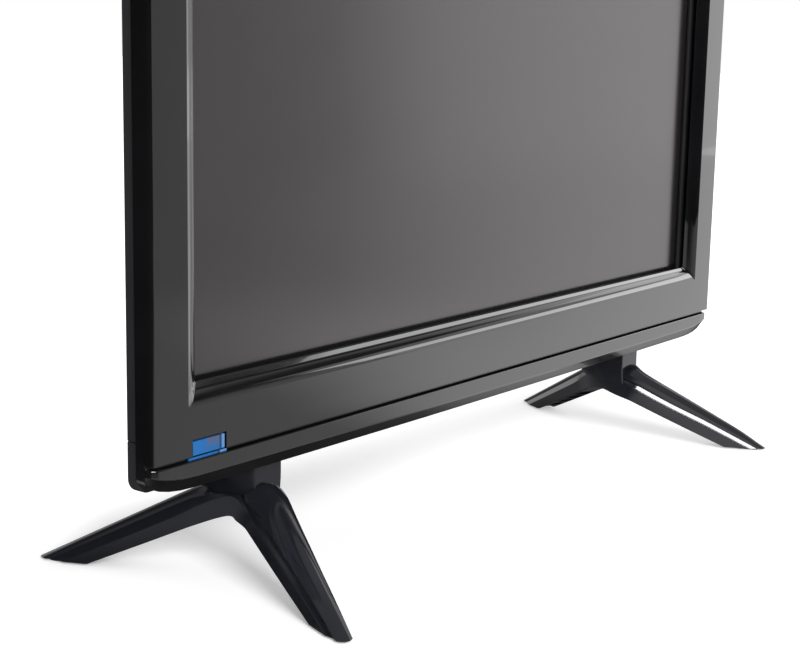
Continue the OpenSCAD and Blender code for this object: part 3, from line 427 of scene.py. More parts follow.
def hermite(start, leave, end, arrive, t):
    """A point of the smooth curve between two points with given slopes."""
    return (start * (2 * t ** 3 - 3 * t ** 2 + 1) + leave * (t ** 3 - 2 * t ** 2 + t)
            + end * (3 * t ** 2 - 2 * t ** 3) + arrive * (t ** 3 - t ** 2))


def dress(piece, material, body, slot, *nodes):
    """Give a piece its material and body, and hide the nodes that it stands for. The slot is not used."""
    piece.data.materials.clear()
    piece.data.materials.append(material)
    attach(piece, body)
    if nodes:
        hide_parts(*nodes)
    return piece


def paint(nodes, material):
    """Put a material on solids that stay, given by their names with spaces between."""
    for node in nodes.split():
        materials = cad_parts[node].data.materials
        materials.clear()
        materials.append(material)


def cut_mesh(piece, form, operation="DIFFERENCE"):
    """Apply a closed form to a piece, by default as a cut."""
    tool = new_object("tool", form, False)
    modifier = piece.modifiers.new("cut", "BOOLEAN")
    modifier.operation = operation
    modifier.solver = "EXACT"
    modifier.use_self = True
    modifier.object = tool
    bpy.context.view_layer.update()
    result = bpy.data.meshes.new_from_object(piece.evaluated_get(bpy.context.evaluated_depsgraph_get()))
    piece.modifiers.remove(modifier)
    spent = (piece.data, tool.data)
    piece.data = result
    bpy.data.objects.remove(tool)
    for mesh in spent:
        bpy.data.meshes.remove(mesh)
    if not len(result.polygons):
        raise RuntimeError("nothing is left of " + piece.name)


def cut_piece(name, bm, form):
    """An object from a bmesh with a closed form cut out of it."""
    piece = new_object(name, bm, False)
    cut_mesh(piece, form)
    soften(piece)
    return piece


def ring(bm, points):
    """A closed loop of edges through some points."""
    verts = [bm.verts.new(point) for point in points]
    return [bm.edges.new((verts[i - 1], verts[i])) for i in range(len(verts))]


def loft(rings):
    """A closed form through rings of equal length."""
    bm = bmesh.new()
    loops = [ring(bm, points) for points in rings]
    for first, second in zip(loops, loops[1:]):
        bmesh.ops.bridge_loops(bm, edges=first + second)
    for loop in (loops[0], loops[-1]):
        bmesh.ops.contextual_create(bm, geom=loop)
    bmesh.ops.remove_doubles(bm, verts=bm.verts, dist=WELD)
    bmesh.ops.recalc_face_normals(bm, faces=bm.faces)
    return bm


def add_part(bm, part):
    """Move one bmesh into another."""
    mesh = bpy.data.meshes.new("part")
    part.to_mesh(mesh)
    part.free()
    bm.from_mesh(mesh)
    bpy.data.meshes.remove(mesh)


def box_form(low, high):
    """A plain box between two corners, for joining and cutting."""
    bm = bmesh.new()
    bmesh.ops.create_cube(bm, size=1.0)
    bmesh.ops.scale(bm, vec=high - low, verts=bm.verts)
    bmesh.ops.translate(bm, vec=(low + high) / 2, verts=bm.verts)
    return bm


def add_block(bm, middle, size, turn=0.0):
    """Add a plain block for cutting, turned about the depth axis."""
    bmesh.ops.create_cube(bm, size=1.0, matrix=Matrix.Translation(middle) @ Matrix.Rotation(turn, 4, "Y")
                          @ Matrix.Diagonal((*size, 1.0)))


def arc(steps):
    """Sines and cosines of a quarter turn in equal steps."""
    return [(sin(pi / 2 * i / steps), cos(pi / 2 * i / steps)) for i in range(steps + 1)]


# Front of the set

# Half the opening's width and height, the reach of the slope round it, and the depth of its lip. The crease
# lies at one part in CREASE_SHARE of that depth.
OPENING_WIDE, OPENING_TALL = 207.0 * MM, 117.3 * MM
SLOPE_REACH = 8.0 * MM
LIP_DEPTH, LIP_NEAR = 8.5 * MM, 0.2 * MM
CREASE_SHARE = 7
OUTER_EDGE, CHIN_NEAR, WINDOW_NEAR = 3.2 * MM, 0.3 * MM, 0.5 * MM
# Distance from the opening at which the front face is split into plain quads
GUARD = 12.0 * MM
CORNER_CUT = Vector((8.0, 9.4, 40.0)) * MM
CORNER_CUT_DROP = 20.6 * MM
TRIM_STEPS, TRIM_ARC = 40, 4
TRIM_DEPTH = 4.8 * MM
# Tab of the window in the groove: set back, thickness, lower and upper edge, and rounding
TAB_DEPTH, TAB_THICK, TAB_LOW, TAB_RISE, TAB_ROUND = 1.05 * MM, 1.0 * MM, 0.1 * MM, 1.1 * MM, 0.12 * MM
# Share of the window's gap that is taken off its top
TOP_GAP = 0.6
TONGUE_LIP, TONGUE_REACH = 0.2 * MM, 1.4
SLANT_GAIN = 0.85
CORNER_LENGTH, CORNER_RISE = 25.0 * MM, 7.0 * MM
FACE_HEIGHT = 7.4 * MM
TAPER_START, TAPER_RISE = 60.0 * MM, 1.2 * MM
FACE_CORNER = 3.4 * MM
CREASE_DROP, FACE_RUN, FACE_BULGE = 0.4 * MM, 0.5 * MM, 0.12 * MM
# Rounded end of the slant: depth and height from its lowest point, in millimetres
SLANT_END = ((-0.3, 0.45), (0.0, 0.08), (0.6, 0.0))
SLANT_LEAST = 1.2 * MM
# Places across between which the slant grows from satin to a share of the polish
SLANT_POLISH = (-0.13, 0.0, 0.0, 0.4)
SATIN = 0.42
# Border of the screen round the picture, and how far it blurs inwards and outwards
SCREEN_EDGE, BLUR_IN, BLUR_OUT = 6.0 * MM, 0.6 * MM, 0.3 * MM
SCREEN_BORDER, SCREEN_TINT = (0.004, 0.004, 0.004, 1.0), (1.0, 0.95, 0.965, 1.0)
SCREEN_IOR, WINDOW_IOR = 1.95, 1.49
# Window: shades over the receiver, along its pale end and in the seam between, with their places and strengths
WINDOW_LENS, WINDOW_STRIP = (0.055, 0.07, 0.115, 1.0), (0.10, 0.27, 0.55, 1.0)
WINDOW_SEAM = (0.01, 0.03, 0.08, 1.0)
WINDOW_TALL, LENS_ACROSS, LENS_UP, LENS_SHARE = 0.9, (0.34, 0.52), (0.12, 0.45), 0.8
STRIP_ACROSS, STRIP_SHARE, SEAM_START, SEAM_END = (0.80, 0.84), 0.55, (0.74, 0.77), (0.79, 0.82)


def front_frame(sizes):
    """The front frame with rounded edges and filleted surround corners."""
    low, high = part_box("front_bezel")
    cell_low, cell_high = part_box("lcd_cell")
    window_low, window_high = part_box("remote_window")
    bm = merged_copy("front_bezel")
    front = low.y
    crease = front + LIP_DEPTH / CREASE_SHARE
    lip = front + LIP_DEPTH
    middle = (cell_low.z + cell_high.z) / 2
    chin = window_low.z

    def in_opening(point, grow=SLOPE_REACH + NEAR):
        return abs(point.x) < OPENING_WIDE + grow and abs(point.z - middle) < OPENING_TALL + grow

    def on_outline(point):
        return abs(point.x) > high.x - OUTER_EDGE or point.z > high.z - OUTER_EDGE

    def on_chin(point):
        return abs(point.z - chin) < CHIN_NEAR or (
            window_low.x - WINDOW_NEAR < point.x < window_high.x + WINDOW_NEAR
            and point.z < window_high.z + WINDOW_NEAR)

    for vert in bm.verts:
        if close(vert.co.y, lip) and in_opening(vert.co, LIP_NEAR):
            vert.co.y -= sizes.lip_rise
    lip -= sizes.lip_rise

    def mitre(edge):
        first, second = (vert.co for vert in edge.verts)
        slanted = min(abs(first.x - second.x), abs(first.z - second.z)) > NEAR
        return in_opening(first) and in_opening(second) and slanted and max(first.y, second.y) < lip + NEAR

    round_where(bm, lambda p: close(p.y, crease) and in_opening(p), sizes.crease_round, 6)
    round_edges(bm, [edge for edge in bm.edges if is_sharp(edge) and mitre(edge)], sizes.mitre_round, 4)
    round_where(bm, lambda p: close(p.y, front) and on_outline(p), sizes.face_round, 4)
    round_where(bm, lambda p: close(p.y, front) and in_opening(p), sizes.slope_round)
    round_where(bm, lambda p: close(p.y, front) and on_chin(p), sizes.chin_round, 2)
    for axis, place in ((0, OPENING_WIDE), (2, OPENING_TALL)):
        for side in (-1, 1):
            spot = Vector((0.0, 0.0, middle))
            spot[axis] += side * (place - GUARD)
            bmesh.ops.bisect_plane(
                bm, geom=bm.verts[:] + bm.edges[:] + bm.faces[:], plane_co=spot,
                plane_no=(axis == 0, 0.0, axis == 2))
    corners = bmesh.new()
    for side in (-1, 1):
        add_block(corners, (side * high.x, front, chin - CORNER_CUT_DROP), CORNER_CUT)
    return cut_piece("front_frame", bm, corners)


def trim_section(sizes, front, back, top, crease, low, deeper):
    """Section of the trim strip as depth and height: a tongue in the groove, a rounded face and a slant."""
    edge = sizes.trim_round
    tongue = front + sizes.tongue_depth
    slant = front + sizes.slant_depth * deeper
    points = [(back, top + sizes.tongue_rise), (tongue, top + sizes.tongue_rise),
              (tongue, top + sizes.tongue_rise - TONGUE_LIP), (front + edge * TONGUE_REACH, top)]
    points += [(front + edge * (1 - s), top - edge * (1 - c)) for s, c in arc(TRIM_ARC)]
    for i in range(TRIM_ARC + 1):
        share = i / TRIM_ARC
        height = crease + FACE_RUN - (FACE_RUN + CREASE_DROP) * share
        points.append((front + FACE_BULGE * share * share, height))
    return points + [(slant + y * MM, low + z * MM) for y, z in SLANT_END] + [(back, low)]


def trim_strip(sizes):
    """The strip under the chin, swept along its length with its lower edge curving up to rounded ends."""
    low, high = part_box("chin_trim")
    front, back = low.y, low.y + TRIM_DEPTH
    half = high.x + sizes.trim_wrap

    def past(x, span):
        return max(0.0, abs(x) - (half - span)) / span

    def drop(share):
        return 1 - sqrt(max(0.0, 1 - share * share))

    rings = []
    for i in range(TRIM_STEPS + 1):
        x = half * sin(pi / 2 * (2 * i / TRIM_STEPS - 1))
        corner = past(x, CORNER_LENGTH)
        taper = max(0.0, abs(x) - TAPER_START) / (half - TAPER_START)
        crease = high.z - FACE_HEIGHT + TAPER_RISE * taper + FACE_CORNER * corner * corner
        bottom = min(low.z + CORNER_RISE * drop(corner), crease - SLANT_LEAST)
        inset = sizes.trim_end_round * drop(past(x, sizes.trim_end_round))
        section = trim_section(sizes, front, back, high.z, crease, bottom, 1 + SLANT_GAIN * taper)
        rings.append([Vector((x, min(y + inset, back), z)) for y, z in section])
    return new_object("trim_strip", loft(rings))


def receiver_window(sizes):
    """The tinted window with softened edges and a lower tab that shows in the groove."""
    low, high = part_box("remote_window")
    trim_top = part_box("chin_trim")[1].z
    bm = merged_copy("remote_window")
    face = [vert for vert in bm.verts if close(vert.co.y, low.y)]
    right, top = max(vert.co.x for vert in face), max(vert.co.z for vert in face)
    for vert in bm.verts:
        if close(vert.co.x, right):
            vert.co.x -= sizes.window_gap
        if close(vert.co.z, top):
            vert.co.z -= sizes.window_gap * TOP_GAP
    round_where(bm, lambda p: close(p.y, low.y), sizes.window_round, 2)
    tab = box_form(
        Vector((low.x, low.y + TAB_DEPTH, trim_top + TAB_LOW)),
        Vector((high.x, low.y + TAB_DEPTH + TAB_THICK, trim_top + TAB_RISE)))
    round_edges(tab, tab.edges[:], TAB_ROUND, 2)
    add_part(bm, tab)
    return new_object("receiver_window", bm)


def trim_finish(name, base):
    """Polished black plastic with a satin slant under the crease."""
    material = gloss_finish(name, base, 1.0)
    nodes = Nodes(material.node_tree)
    shader = nodes.tree.nodes["Principled BSDF"]
    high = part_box("chin_trim")[1]
    x, _, z = nodes.axes(nodes.add("TexCoord").outputs["Object"])
    rise = nodes.line(nodes.calc("ABSOLUTE", x), TAPER_START, high.x, 0.0, TAPER_RISE)
    crease = high.z - FACE_HEIGHT - CREASE_DROP
    face = nodes.line(nodes.calc("SUBTRACT", z, rise), crease - CREASE_DROP / 2, crease, 0.0, 1.0)
    face = nodes.peak(face, nodes.ramp(x, *SLANT_POLISH))
    polish = shader.inputs["Roughness"].links[0].from_socket
    roughness = nodes.peak(polish, nodes.line(face, 0.0, 1.0, SATIN, 0.0))
    nodes.fill(shader, {"Roughness": roughness, "Coat Weight": face})
    return material


def screen_finish(name, base):
    """Matte screen with a darker border outside the picture and a fine haze."""
    material, nodes, shader, point = new_material(name)
    low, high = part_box("lcd_cell")
    half, bottom, top = high.x - SCREEN_EDGE, low.z + SCREEN_EDGE, high.z - SCREEN_EDGE
    x, _, z = nodes.axes(point)
    border = nodes.peak(
        nodes.line(nodes.calc("ABSOLUTE", x), half - BLUR_IN, half + BLUR_OUT, 0.0, 1.0),
        nodes.line(z, bottom - BLUR_OUT, bottom + BLUR_IN, 1.0, 0.0),
        nodes.line(z, top - BLUR_IN, top + BLUR_OUT, 0.0, 1.0))
    grain = nodes.grain(point, base, spread=0.05, scale=2600.0, smooth=0.15, rough=0.20)
    nodes.fill(shader, {
        "Base Color": nodes.mixed(border, grain["Colour"], SCREEN_BORDER), "Roughness": grain["Roughness"],
        "IOR": SCREEN_IOR, "Specular Tint": SCREEN_TINT, "Normal": nodes.bump(grain["Height"], 0.2, 0.01 * MM)})
    return material


def window_finish(name, base):
    """Blue tinted plastic, darker over the receiver and paler along one end."""
    material, nodes, shader, point = new_material(name)
    low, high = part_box("remote_window")
    x, _, z = nodes.axes(point)
    across = nodes.line(x, low.x, high.x, 0.0, 1.0)
    up = nodes.line(z, high.z - (high.z - low.z) * WINDOW_TALL, high.z, 0.0, 1.0)
    lens = nodes.product(
        nodes.ramp(across, *LENS_ACROSS, 0.0, 1.0), nodes.ramp(up, *LENS_UP, 0.0, 1.0), LENS_SHARE)
    strip = nodes.product(nodes.ramp(across, *STRIP_ACROSS, 0.0, 1.0), STRIP_SHARE)
    seam = nodes.product(nodes.line(across, *SEAM_START, 0.0, 1.0), nodes.line(across, *SEAM_END, 1.0, 0.0))
    grain = nodes.grain(point, base, spread=0.25, scale=500.0, smooth=0.05, rough=0.12)
    tint = grain["Colour"]
    for mask, shade in ((lens, WINDOW_LENS), (strip, WINDOW_STRIP), (seam, WINDOW_SEAM)):
        tint = nodes.mixed(mask, tint, shade)
    nodes.fill(shader, {"Base Color": tint, "Roughness": grain["Roughness"], "IOR": WINDOW_IOR})
    return material


class TELEVISION_OT_front(bpy.types.Operator):
    """Build the front frame, the trim strip, the receiver window and the screen finish."""

    bl_idname = "television.front"
    bl_label = "Front"

    def execute(self, context):
        sizes = context.scene.television_sizes
        colours = context.scene.television_colours
        gloss = gloss_finish("frame_gloss", colours.gloss_black, 1.0, 0.02)
        dress(front_frame(sizes), gloss, CABINET, "bezel_gloss", "front_bezel")
        black = trim_finish("trim_gloss", colours.gloss_black)
        dress(trim_strip(sizes), black, CABINET, "trim_gloss", "chin_trim")
        blue = window_finish("window_tint", colours.window_blue)
        dress(receiver_window(sizes), blue, CABINET, "window_blue", "remote_window")
        paint("lcd_cell", screen_finish("screen_matte", colours.screen_grey))
        return {"FINISHED"}


# Rear cover

# Depths of the rim and of the step behind it, and how far in its outline and its corners reach
RIM_DEPTH, STEP_DEPTH = 5.3 * MM, 11.0 * MM
RIM_EDGE, RIM_CORNER = 1.9 * MM, 6.1 * MM
# Outlines of the hump and the step: half the width, and the top
HUMP_HALF, HUMP_TOP, HUMP_FOOT = 183.9 * MM, 247.8 * MM, 2.1 * MM
STEP_HALF, STEP_TOP = 216.4 * MM, 325.3 * MM
SEAM_MARK, SEAM_HEIGHT = Vector((1.0, 8.0, 0.6)) * MM, 77.0 * MM


def cover_shell(sizes):
    """The rear cover with rounded rim and hump and a short seam mark on each side."""
    low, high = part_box("rear_cover")
    rim = low.y + RIM_DEPTH
    step = rim + STEP_DEPTH
    bm = merged_copy("rear_cover", rim)

    def beside(point, span):
        return abs(point.x) > high.x - span

    def over(point, span):
        return point.z > high.z - span or point.z < low.z + span

    def on_rim(point):
        return close(point.y, rim) and (
            beside(point, RIM_EDGE) or over(point, RIM_EDGE)
            or (beside(point, RIM_CORNER) and over(point, RIM_CORNER)))

    def on_hump(point):
        return close(point.y, high.y) and (
            abs(point.x) > HUMP_HALF or point.z > HUMP_TOP or point.z < low.z + HUMP_FOOT)

    def on_step(point):
        return close(point.y, step) and (abs(point.x) > STEP_HALF or point.z > STEP_TOP)

    round_where(bm, on_rim, sizes.rim_round, 4)
    round_where(bm, on_hump, sizes.hump_round, 4)
    round_where(bm, on_step, sizes.hump_round, 3)
    marks = bmesh.new()
    for side in (-1, 1):
        add_block(marks, (side * high.x, (low.y + rim) / 2, SEAM_HEIGHT), SEAM_MARK)
    return cut_piece("cover_shell", bm, marks)


class TELEVISION_OT_cover(bpy.types.Operator):
    """Build the rear cover."""

    bl_idname = "television.cover"
    bl_label = "Rear cover"

    def execute(self, context):
        matte = matte_finish("cover_matte", context.scene.television_colours.matte_grey)
        dress(cover_shell(context.scene.television_sizes), matte, CABINET, "cover_matte", "rear_cover")
        return {"FINISHED"}


# Stands

BASE = 1.0 * MM
NECK_LOW, NECK_HIGH = Vector((148.35, -12.1, 34.5)) * MM, Vector((165.85, 17.6, 82.1)) * MM
# Foot of the neck: places along its depth, and there the inner and the outer side in plan
NECK_FOOT = ((-12.1, 150.0, 166.8), (0.0, 148.6, 167.6), (8.0, 151.5, 169.2), (17.6, 158.5, 172.0))
FLARE_TOP = 13.0 * MM
FLARE_STEPS = 8
NECK_STEPS = 12
# Shares of the rounding at which the neck's corners have points
NECK_CORNER = (0.0, 0.1, 0.4, 1.0)
FRONT_LINE = (Vector((160.5, -14.4, 39.3)) * MM, Vector((191.6, -85.0, 0.0)) * MM)
REAR_LINE = (Vector((167.0, 16.0, 38.2)) * MM, Vector((199.1, 82.8, 0.0)) * MM)
# The sweep runs from the rear tip over the hub to the front tip. A place on it is a number: the rear root is at
# -ROOT and the front root at ROOT, and a bar's share of its length counts on from there.
ROOT = 0.3
HUB_REACH = (-0.46, 0.36)
HUB_PULL = 63.0 * MM
REAR_END, FRONT_END = -1.6, 1.65
WIDTH = ((-1.6, 12.3), (-0.45, 14.0), (-0.15, 18.0), (0.15, 20.0), (0.3, 19.0), (1.65, 5.2))
DEPTH = ((-1.6, 6.4), (-0.4, 12.0), (0.0, 12.3), (0.3, 13.6), (1.65, 6.85))
RISE = ((-1.6, 2.1), (-0.3, 2.5), (0.0, 2.5), (0.23, 4.8), (0.27, 4.5), (0.32, 3.5), (0.4, 3.0), (0.7, 2.7),
        (0.9, 2.4), (1.1, 2.0), (1.3, 0.5), (1.65, 0.2))
# Shares of the depth: the ridge's widest point, the groove under it and the top of the flange
RIDGE_DEEP = ((-0.35, 0.06), (0.0, 0.20), (0.28, 0.14), (1.65, 0.14))
GROOVE_DEEP = ((-0.35, 0.08), (-0.1, 0.20), (0.16, 0.20), (0.34, 0.26), (0.6, 0.27), (0.9, 0.19), (1.65, 0.18))
FLANGE_DEEP = ((-0.5, 0.41), (-0.1, 0.25), (0.16, 0.25), (0.36, 0.40), (0.6, 0.42), (0.9, 0.36), (1.65, 0.36))
# Width over depth of the ledge between the groove and the flange, and how far the ridge overhangs the groove
LEDGE_TILT = ((-0.35, 0.61), (-0.1, 0.9), (0.14, 0.9), (0.33, 0.41), (1.65, 0.41))
OVERHANG = ((-0.35, 0.07), (0.0, 0.1), (0.28, 0.9), (0.6, 0.4), (1.65, 0.3))
DOME_START, DOME_FULL = 0.19, 0.25
REAR_FADE = (-0.12, -0.3)
RIDGE_STEPS = 7
DOME_DROP = 0.6
TUCK_STEPS = 4
EDGE_STEPS = 3
# Share of the groove's width that the ridge's points take where the ridge is flat
FLAT_SHARE = 0.9
# Rings along the rear bar, the hub, the dome and the front bar, and how they crowd at the start of the last
REAR_RINGS, HUB_RINGS, DOME_RINGS, FRONT_RINGS, FRONT_CROWD = 18, 30, 10, 30, 1.6
SPINE_STEP = 0.002
# Pockets: start and end as shares of a bar, number, half a rib, and how far the tools reach below the bar
POCKETS = (0.16, 0.80, 5)
RIB_HALF, POCKET_REACH = 0.8 * MM, 3.0 * MM
# Depth and wall of the pockets under the front and the rear bars
FRONT_POCKET, REAR_POCKET = (6.6 * MM, 2.4 * MM), (3.8 * MM, 1.5 * MM)
STAND_WELD = 0.005 * MM


def table_at(table, place):
    """A value from a table of places and values, on a smooth curve through them."""
    last = len(table) - 1
    place = min(max(place, table[0][0]), table[last][0])
    index = next(i for i in range(last) if place <= table[i + 1][0])

    def slope(i):
        before, after = table[max(i - 1, 0)], table[min(i + 1, last)]
        return (after[1] - before[1]) / (after[0] - before[0])

    (start, low), (end, high) = table[index], table[index + 1]
    span = end - start
    return hermite(low, slope(index) * span, high, slope(index + 1) * span, (place - start) / span)


def on_line(line, share):
    """A point at a share of a line."""
    return line[0] + (line[1] - line[0]) * share


def spine(place):
    """Point of the sweep's chord at a place."""
    low, high = HUB_REACH
    if place <= low:
        return on_line(REAR_LINE, -place - ROOT)
    if place >= high:
        return on_line(FRONT_LINE, place - ROOT)
    t = (place - low) / (high - low)
    start, end = spine(low), spine(high)
    leave = (REAR_LINE[0] - REAR_LINE[1]).normalized() * HUB_PULL
    arrive = (FRONT_LINE[1] - FRONT_LINE[0]).normalized() * HUB_PULL
    return hermite(start, leave, end, arrive, t)


def spine_point(place, deep, across):
    """A point beside the chord: down through the depth and outwards across."""
    along = (spine(place + SPINE_STEP) - spine(place - SPINE_STEP)).normalized()
    side = Vector((-along.y, along.x, 0.0)).normalized()
    return spine(place) + side.cross(along) * deep + side * across


def ridge_share(place):
    """How far the ridge stands up at a place, from 0 in the hub to 1 on the bars."""
    if place > 0:
        t = min(max((DOME_FULL - place) / (DOME_FULL - DOME_START), 0.0), 1.0)
        return sqrt(1 - t * t)
    return eased((place - REAR_FADE[0]) / (REAR_FADE[1] - REAR_FADE[0]))


def ridge_curve(rise, deep, wide):
    """One side of the ridge from its top down to its widest point: a wide dome and an upright flank."""
    drop = min(wide / 2, (rise + deep) * DOME_DROP)
    points = [(drop * (i / RIDGE_STEPS) ** 2 - rise, wide * i / RIDGE_STEPS) for i in range(RIDGE_STEPS + 1)]
    return points + [(deep, wide)]


def half_profile(place, edge):
    """Points of one side of the section from the ridge's top to the bottom, as depth and width."""
    half = table_at(WIDTH, place) * MM / 2
    depth = table_at(DEPTH, place) * MM
    rise = table_at(RISE, place) * MM
    deep = table_at(RIDGE_DEEP, place) * depth
    flange = table_at(FLANGE_DEEP, place) * depth
    groove_deep = table_at(GROOVE_DEEP, place) * depth
    groove_wide = half - edge - table_at(LEDGE_TILT, place) * (flange + edge - groove_deep)
    wide = groove_wide + table_at(OVERHANG, place) * MM
    up = ridge_share(place)
    points = []
    for i, full in enumerate(ridge_curve(rise, deep, wide)):
        flat = groove_wide * FLAT_SHARE * i / (RIDGE_STEPS + 1)
        points.append((groove_deep + (full[0] - groove_deep) * up, flat + (full[1] - flat) * up))
    last = points[-1]
    points += [(last[0] + (groove_deep - last[0]) * s, groove_wide + (last[1] - groove_wide) * c)
               for s, c in arc(TUCK_STEPS)[1:]]
    points += [(flange + edge * (1 - c), half - edge * (1 - s)) for s, c in arc(EDGE_STEPS)]
    return points + [(depth - edge * (1 - s), half - edge * (1 - c)) for s, c in arc(EDGE_STEPS)]


def sweep_places():
    """Places of the rings, close together where the form changes."""
    hub = HUB_REACH[0]
    places = [REAR_END + (hub - REAR_END) * i / REAR_RINGS for i in range(REAR_RINGS)]
    places += [hub + (DOME_START - hub) * i / HUB_RINGS for i in range(HUB_RINGS)]
    places += [DOME_START + (DOME_FULL - DOME_START) * (1 - c) for _, c in arc(DOME_RINGS)[:-1]]
    return places + [
        DOME_FULL + (FRONT_END - DOME_FULL) * (i / FRONT_RINGS) ** FRONT_CROWD for i in range(FRONT_RINGS + 1)]


def swept_bars(edge):
    """Both bars and the hub between them as one closed form, cut level over the floor."""
    rings = []
    for place in sweep_places():
        half = half_profile(place, edge)
        section = [(x, -y) for x, y in reversed(half[1:])] + half
        rings.append([spine_point(place, x, y) for x, y in section])
    bm = loft(rings)
    cut = bmesh.ops.bisect_plane(
        bm, geom=bm.verts[:] + bm.edges[:] + bm.faces[:], plane_co=(0, 0, BASE), plane_no=(0, 0, 1),
        clear_inner=True)
    rims = [item for item in cut["geom_cut"] if isinstance(item, bmesh.types.BMEdge)]
    bmesh.ops.holes_fill(bm, edges=rims)
    bmesh.ops.recalc_face_normals(bm, faces=bm.faces)
    return bm


def neck_form(sizes):
    """The neck with rounded upright edges and a foot that flares into the hub."""
    low, high = NECK_LOW, NECK_HIGH
    radius = sizes.neck_round
    inner = [(y, x) for y, x, _ in NECK_FOOT]
    outer = [(y, x) for y, _, x in NECK_FOOT]
    corner = [radius * share for share in NECK_CORNER]
    depth = high.y - low.y
    places = corner + [depth * i / NECK_STEPS for i in range(1, NECK_STEPS)]
    places += [depth - step for step in reversed(corner)]
    rings = []
    for i in range(FLARE_STEPS + 2):
        rise = FLARE_TOP * i / FLARE_STEPS
        z = low.z + rise if i <= FLARE_STEPS else high.z
        foot = (1 - min(rise / FLARE_TOP, 1.0)) ** 2
        sides = []
        for table, straight, turn in ((inner, low.x, 1), (outer, high.x, -1)):
            points = []
            for place in places:
                left = max(0.0, radius - min(place, depth - place))
                inset = radius - sqrt(max(0.0, radius ** 2 - left * left))
                spread = (table_at(table, (low.y + place) / MM) * MM - straight) * foot
                points.append(Vector((straight + spread + turn * inset, low.y + place, z)))
            sides.append(points)
        rings.append(sides[0] + sides[1][::-1])
    return loft(rings)


def pocket_forms(line, sign, roof, skin):
    """Tools for the pockets between the ribs under one bar."""
    first, last, count = POCKETS
    rib = RIB_HALF / (line[1] - line[0]).length
    tools = bmesh.new()
    for i in range(count):
        start = first + (last - first) * i / count + (rib if i else 0.0)
        end = first + (last - first) * (i + 1) / count - (rib if i < count - 1 else 0.0)
        rings = []
        for share in (start, end):
            place = sign * (share + ROOT)
            half = table_at(WIDTH, place) * MM / 2 - skin
            depth = table_at(DEPTH, place) * MM + POCKET_REACH
            rings.append([spine_point(place, x, y) for x, y in (
                (roof, -half), (roof, half), (depth, half), (depth, -half))])
        add_part(tools, loft(rings))
    return tools


def stand_piece(name, sizes, mirrored):
    """One stand: swept bars with grooves, a neck and pockets underneath."""
    piece = new_object(name, swept_bars(sizes.bar_edge), False)
    cut_mesh(piece, neck_form(sizes), "UNION")
    cut_mesh(piece, pocket_forms(FRONT_LINE, 1, *FRONT_POCKET))
    cut_mesh(piece, pocket_forms(REAR_LINE, -1, *REAR_POCKET))
    bm = bmesh.new()
    bm.from_mesh(piece.data)
    bmesh.ops.remove_doubles(bm, verts=bm.verts, dist=STAND_WELD)
    if mirrored:
        bmesh.ops.scale(bm, vec=(-1.0, 1.0, 1.0), verts=bm.verts)
        bmesh.ops.reverse_faces(bm, faces=bm.faces)
    bm.to_mesh(piece.data)
    bm.free()
    soften(piece)
    return piece


class TELEVISION_OT_stands(bpy.types.Operator):
    """Build the two stands and finish the foot pads."""

    bl_idname = "television.stands"
    bl_label = "Stands"

    def execute(self, context):
        sizes = context.scene.television_sizes
        colours = context.scene.television_colours
        gloss = gloss_finish("stand_gloss", colours.stand_black, 0.0)
        dress(stand_piece("left_stand", sizes, True), gloss, CABINET, "stand_gloss", "stand_left")
        dress(stand_piece("right_stand", sizes, False), gloss, CABINET, "stand_gloss", "stand_right")
        paint("foot_pads", finish("pad_rubber", colours.rubber, 0.75, 0.9, scale=1200.0, bump=0.3))
        return {"FINISHED"}


# Keys

MARK_WIDE = 0.45 * MM
MARK_SPAN = 2.2 * MM
MARK_RISE = 0.12 * MM
UP_ARROW, DOWN_ARROW = ((-0.25, 0, 45), (0.25, 0, -45)), ((-0.25, 0, -45), (0.25, 0, 45))
# Strokes of each key's mark: place across and up in spans, and angle in degrees
MARKS = {
    "power": ((0, 0.3, 90),), "channel_up": UP_ARROW, "channel_down": DOWN_ARROW,
    "volume_up": ((0, 0, 0), (0, 0, 90)), "volume_down": ((0, 0, 0),),
}
# Ring round the power mark: turn, start, steps, thickness of the block that is turned, and radius in spans
RING_TURN, RING_START, RING_STEPS, RING_SEED, RING_SHARE = radians(285), radians(-52), 24, 1e-5, 0.5
# Share of the span of a lone upright stroke and of a slanted one
LONE_STROKE, ARROW_STROKE = 0.55, 0.72


def stroke(middle, span, angle):
    """A low rounded bar on a face that looks back."""
    half = Vector((span / 2, MARK_RISE, MARK_WIDE / 2))
    bm = box_form(-half, half)
    round_edges(bm, bm.edges[:], MARK_RISE / 2, 2)
    bmesh.ops.transform(
        bm, matrix=Matrix.Translation(middle) @ Matrix.Rotation(radians(angle), 4, "Y"), verts=bm.verts)
    return bm


def open_ring(middle, radius):
    """A low ring with a gap at its top on a face that looks back."""
    half = MARK_WIDE / 2
    bm = box_form(Vector((radius - half, -MARK_RISE, -RING_SEED)), Vector((radius + half, MARK_RISE, 0.0)))
    start = [face for face in bm.faces if face.normal.z > 0.9]
    bmesh.ops.spin(
        bm, geom=start, cent=(0, 0, 0), axis=(0, 1, 0), angle=RING_TURN, steps=RING_STEPS, use_merge=False)
    inner = [face for face in bm.faces if all(len(edge.link_faces) > 2 for edge in face.edges)]
    bmesh.ops.delete(bm, geom=inner, context="FACES_ONLY")
    bmesh.ops.recalc_face_normals(bm, faces=bm.faces)
    bmesh.ops.transform(
        bm, matrix=Matrix.Translation(middle) @ Matrix.Rotation(RING_START, 4, "Y"), verts=bm.verts)
    settle(bm)
    return bm


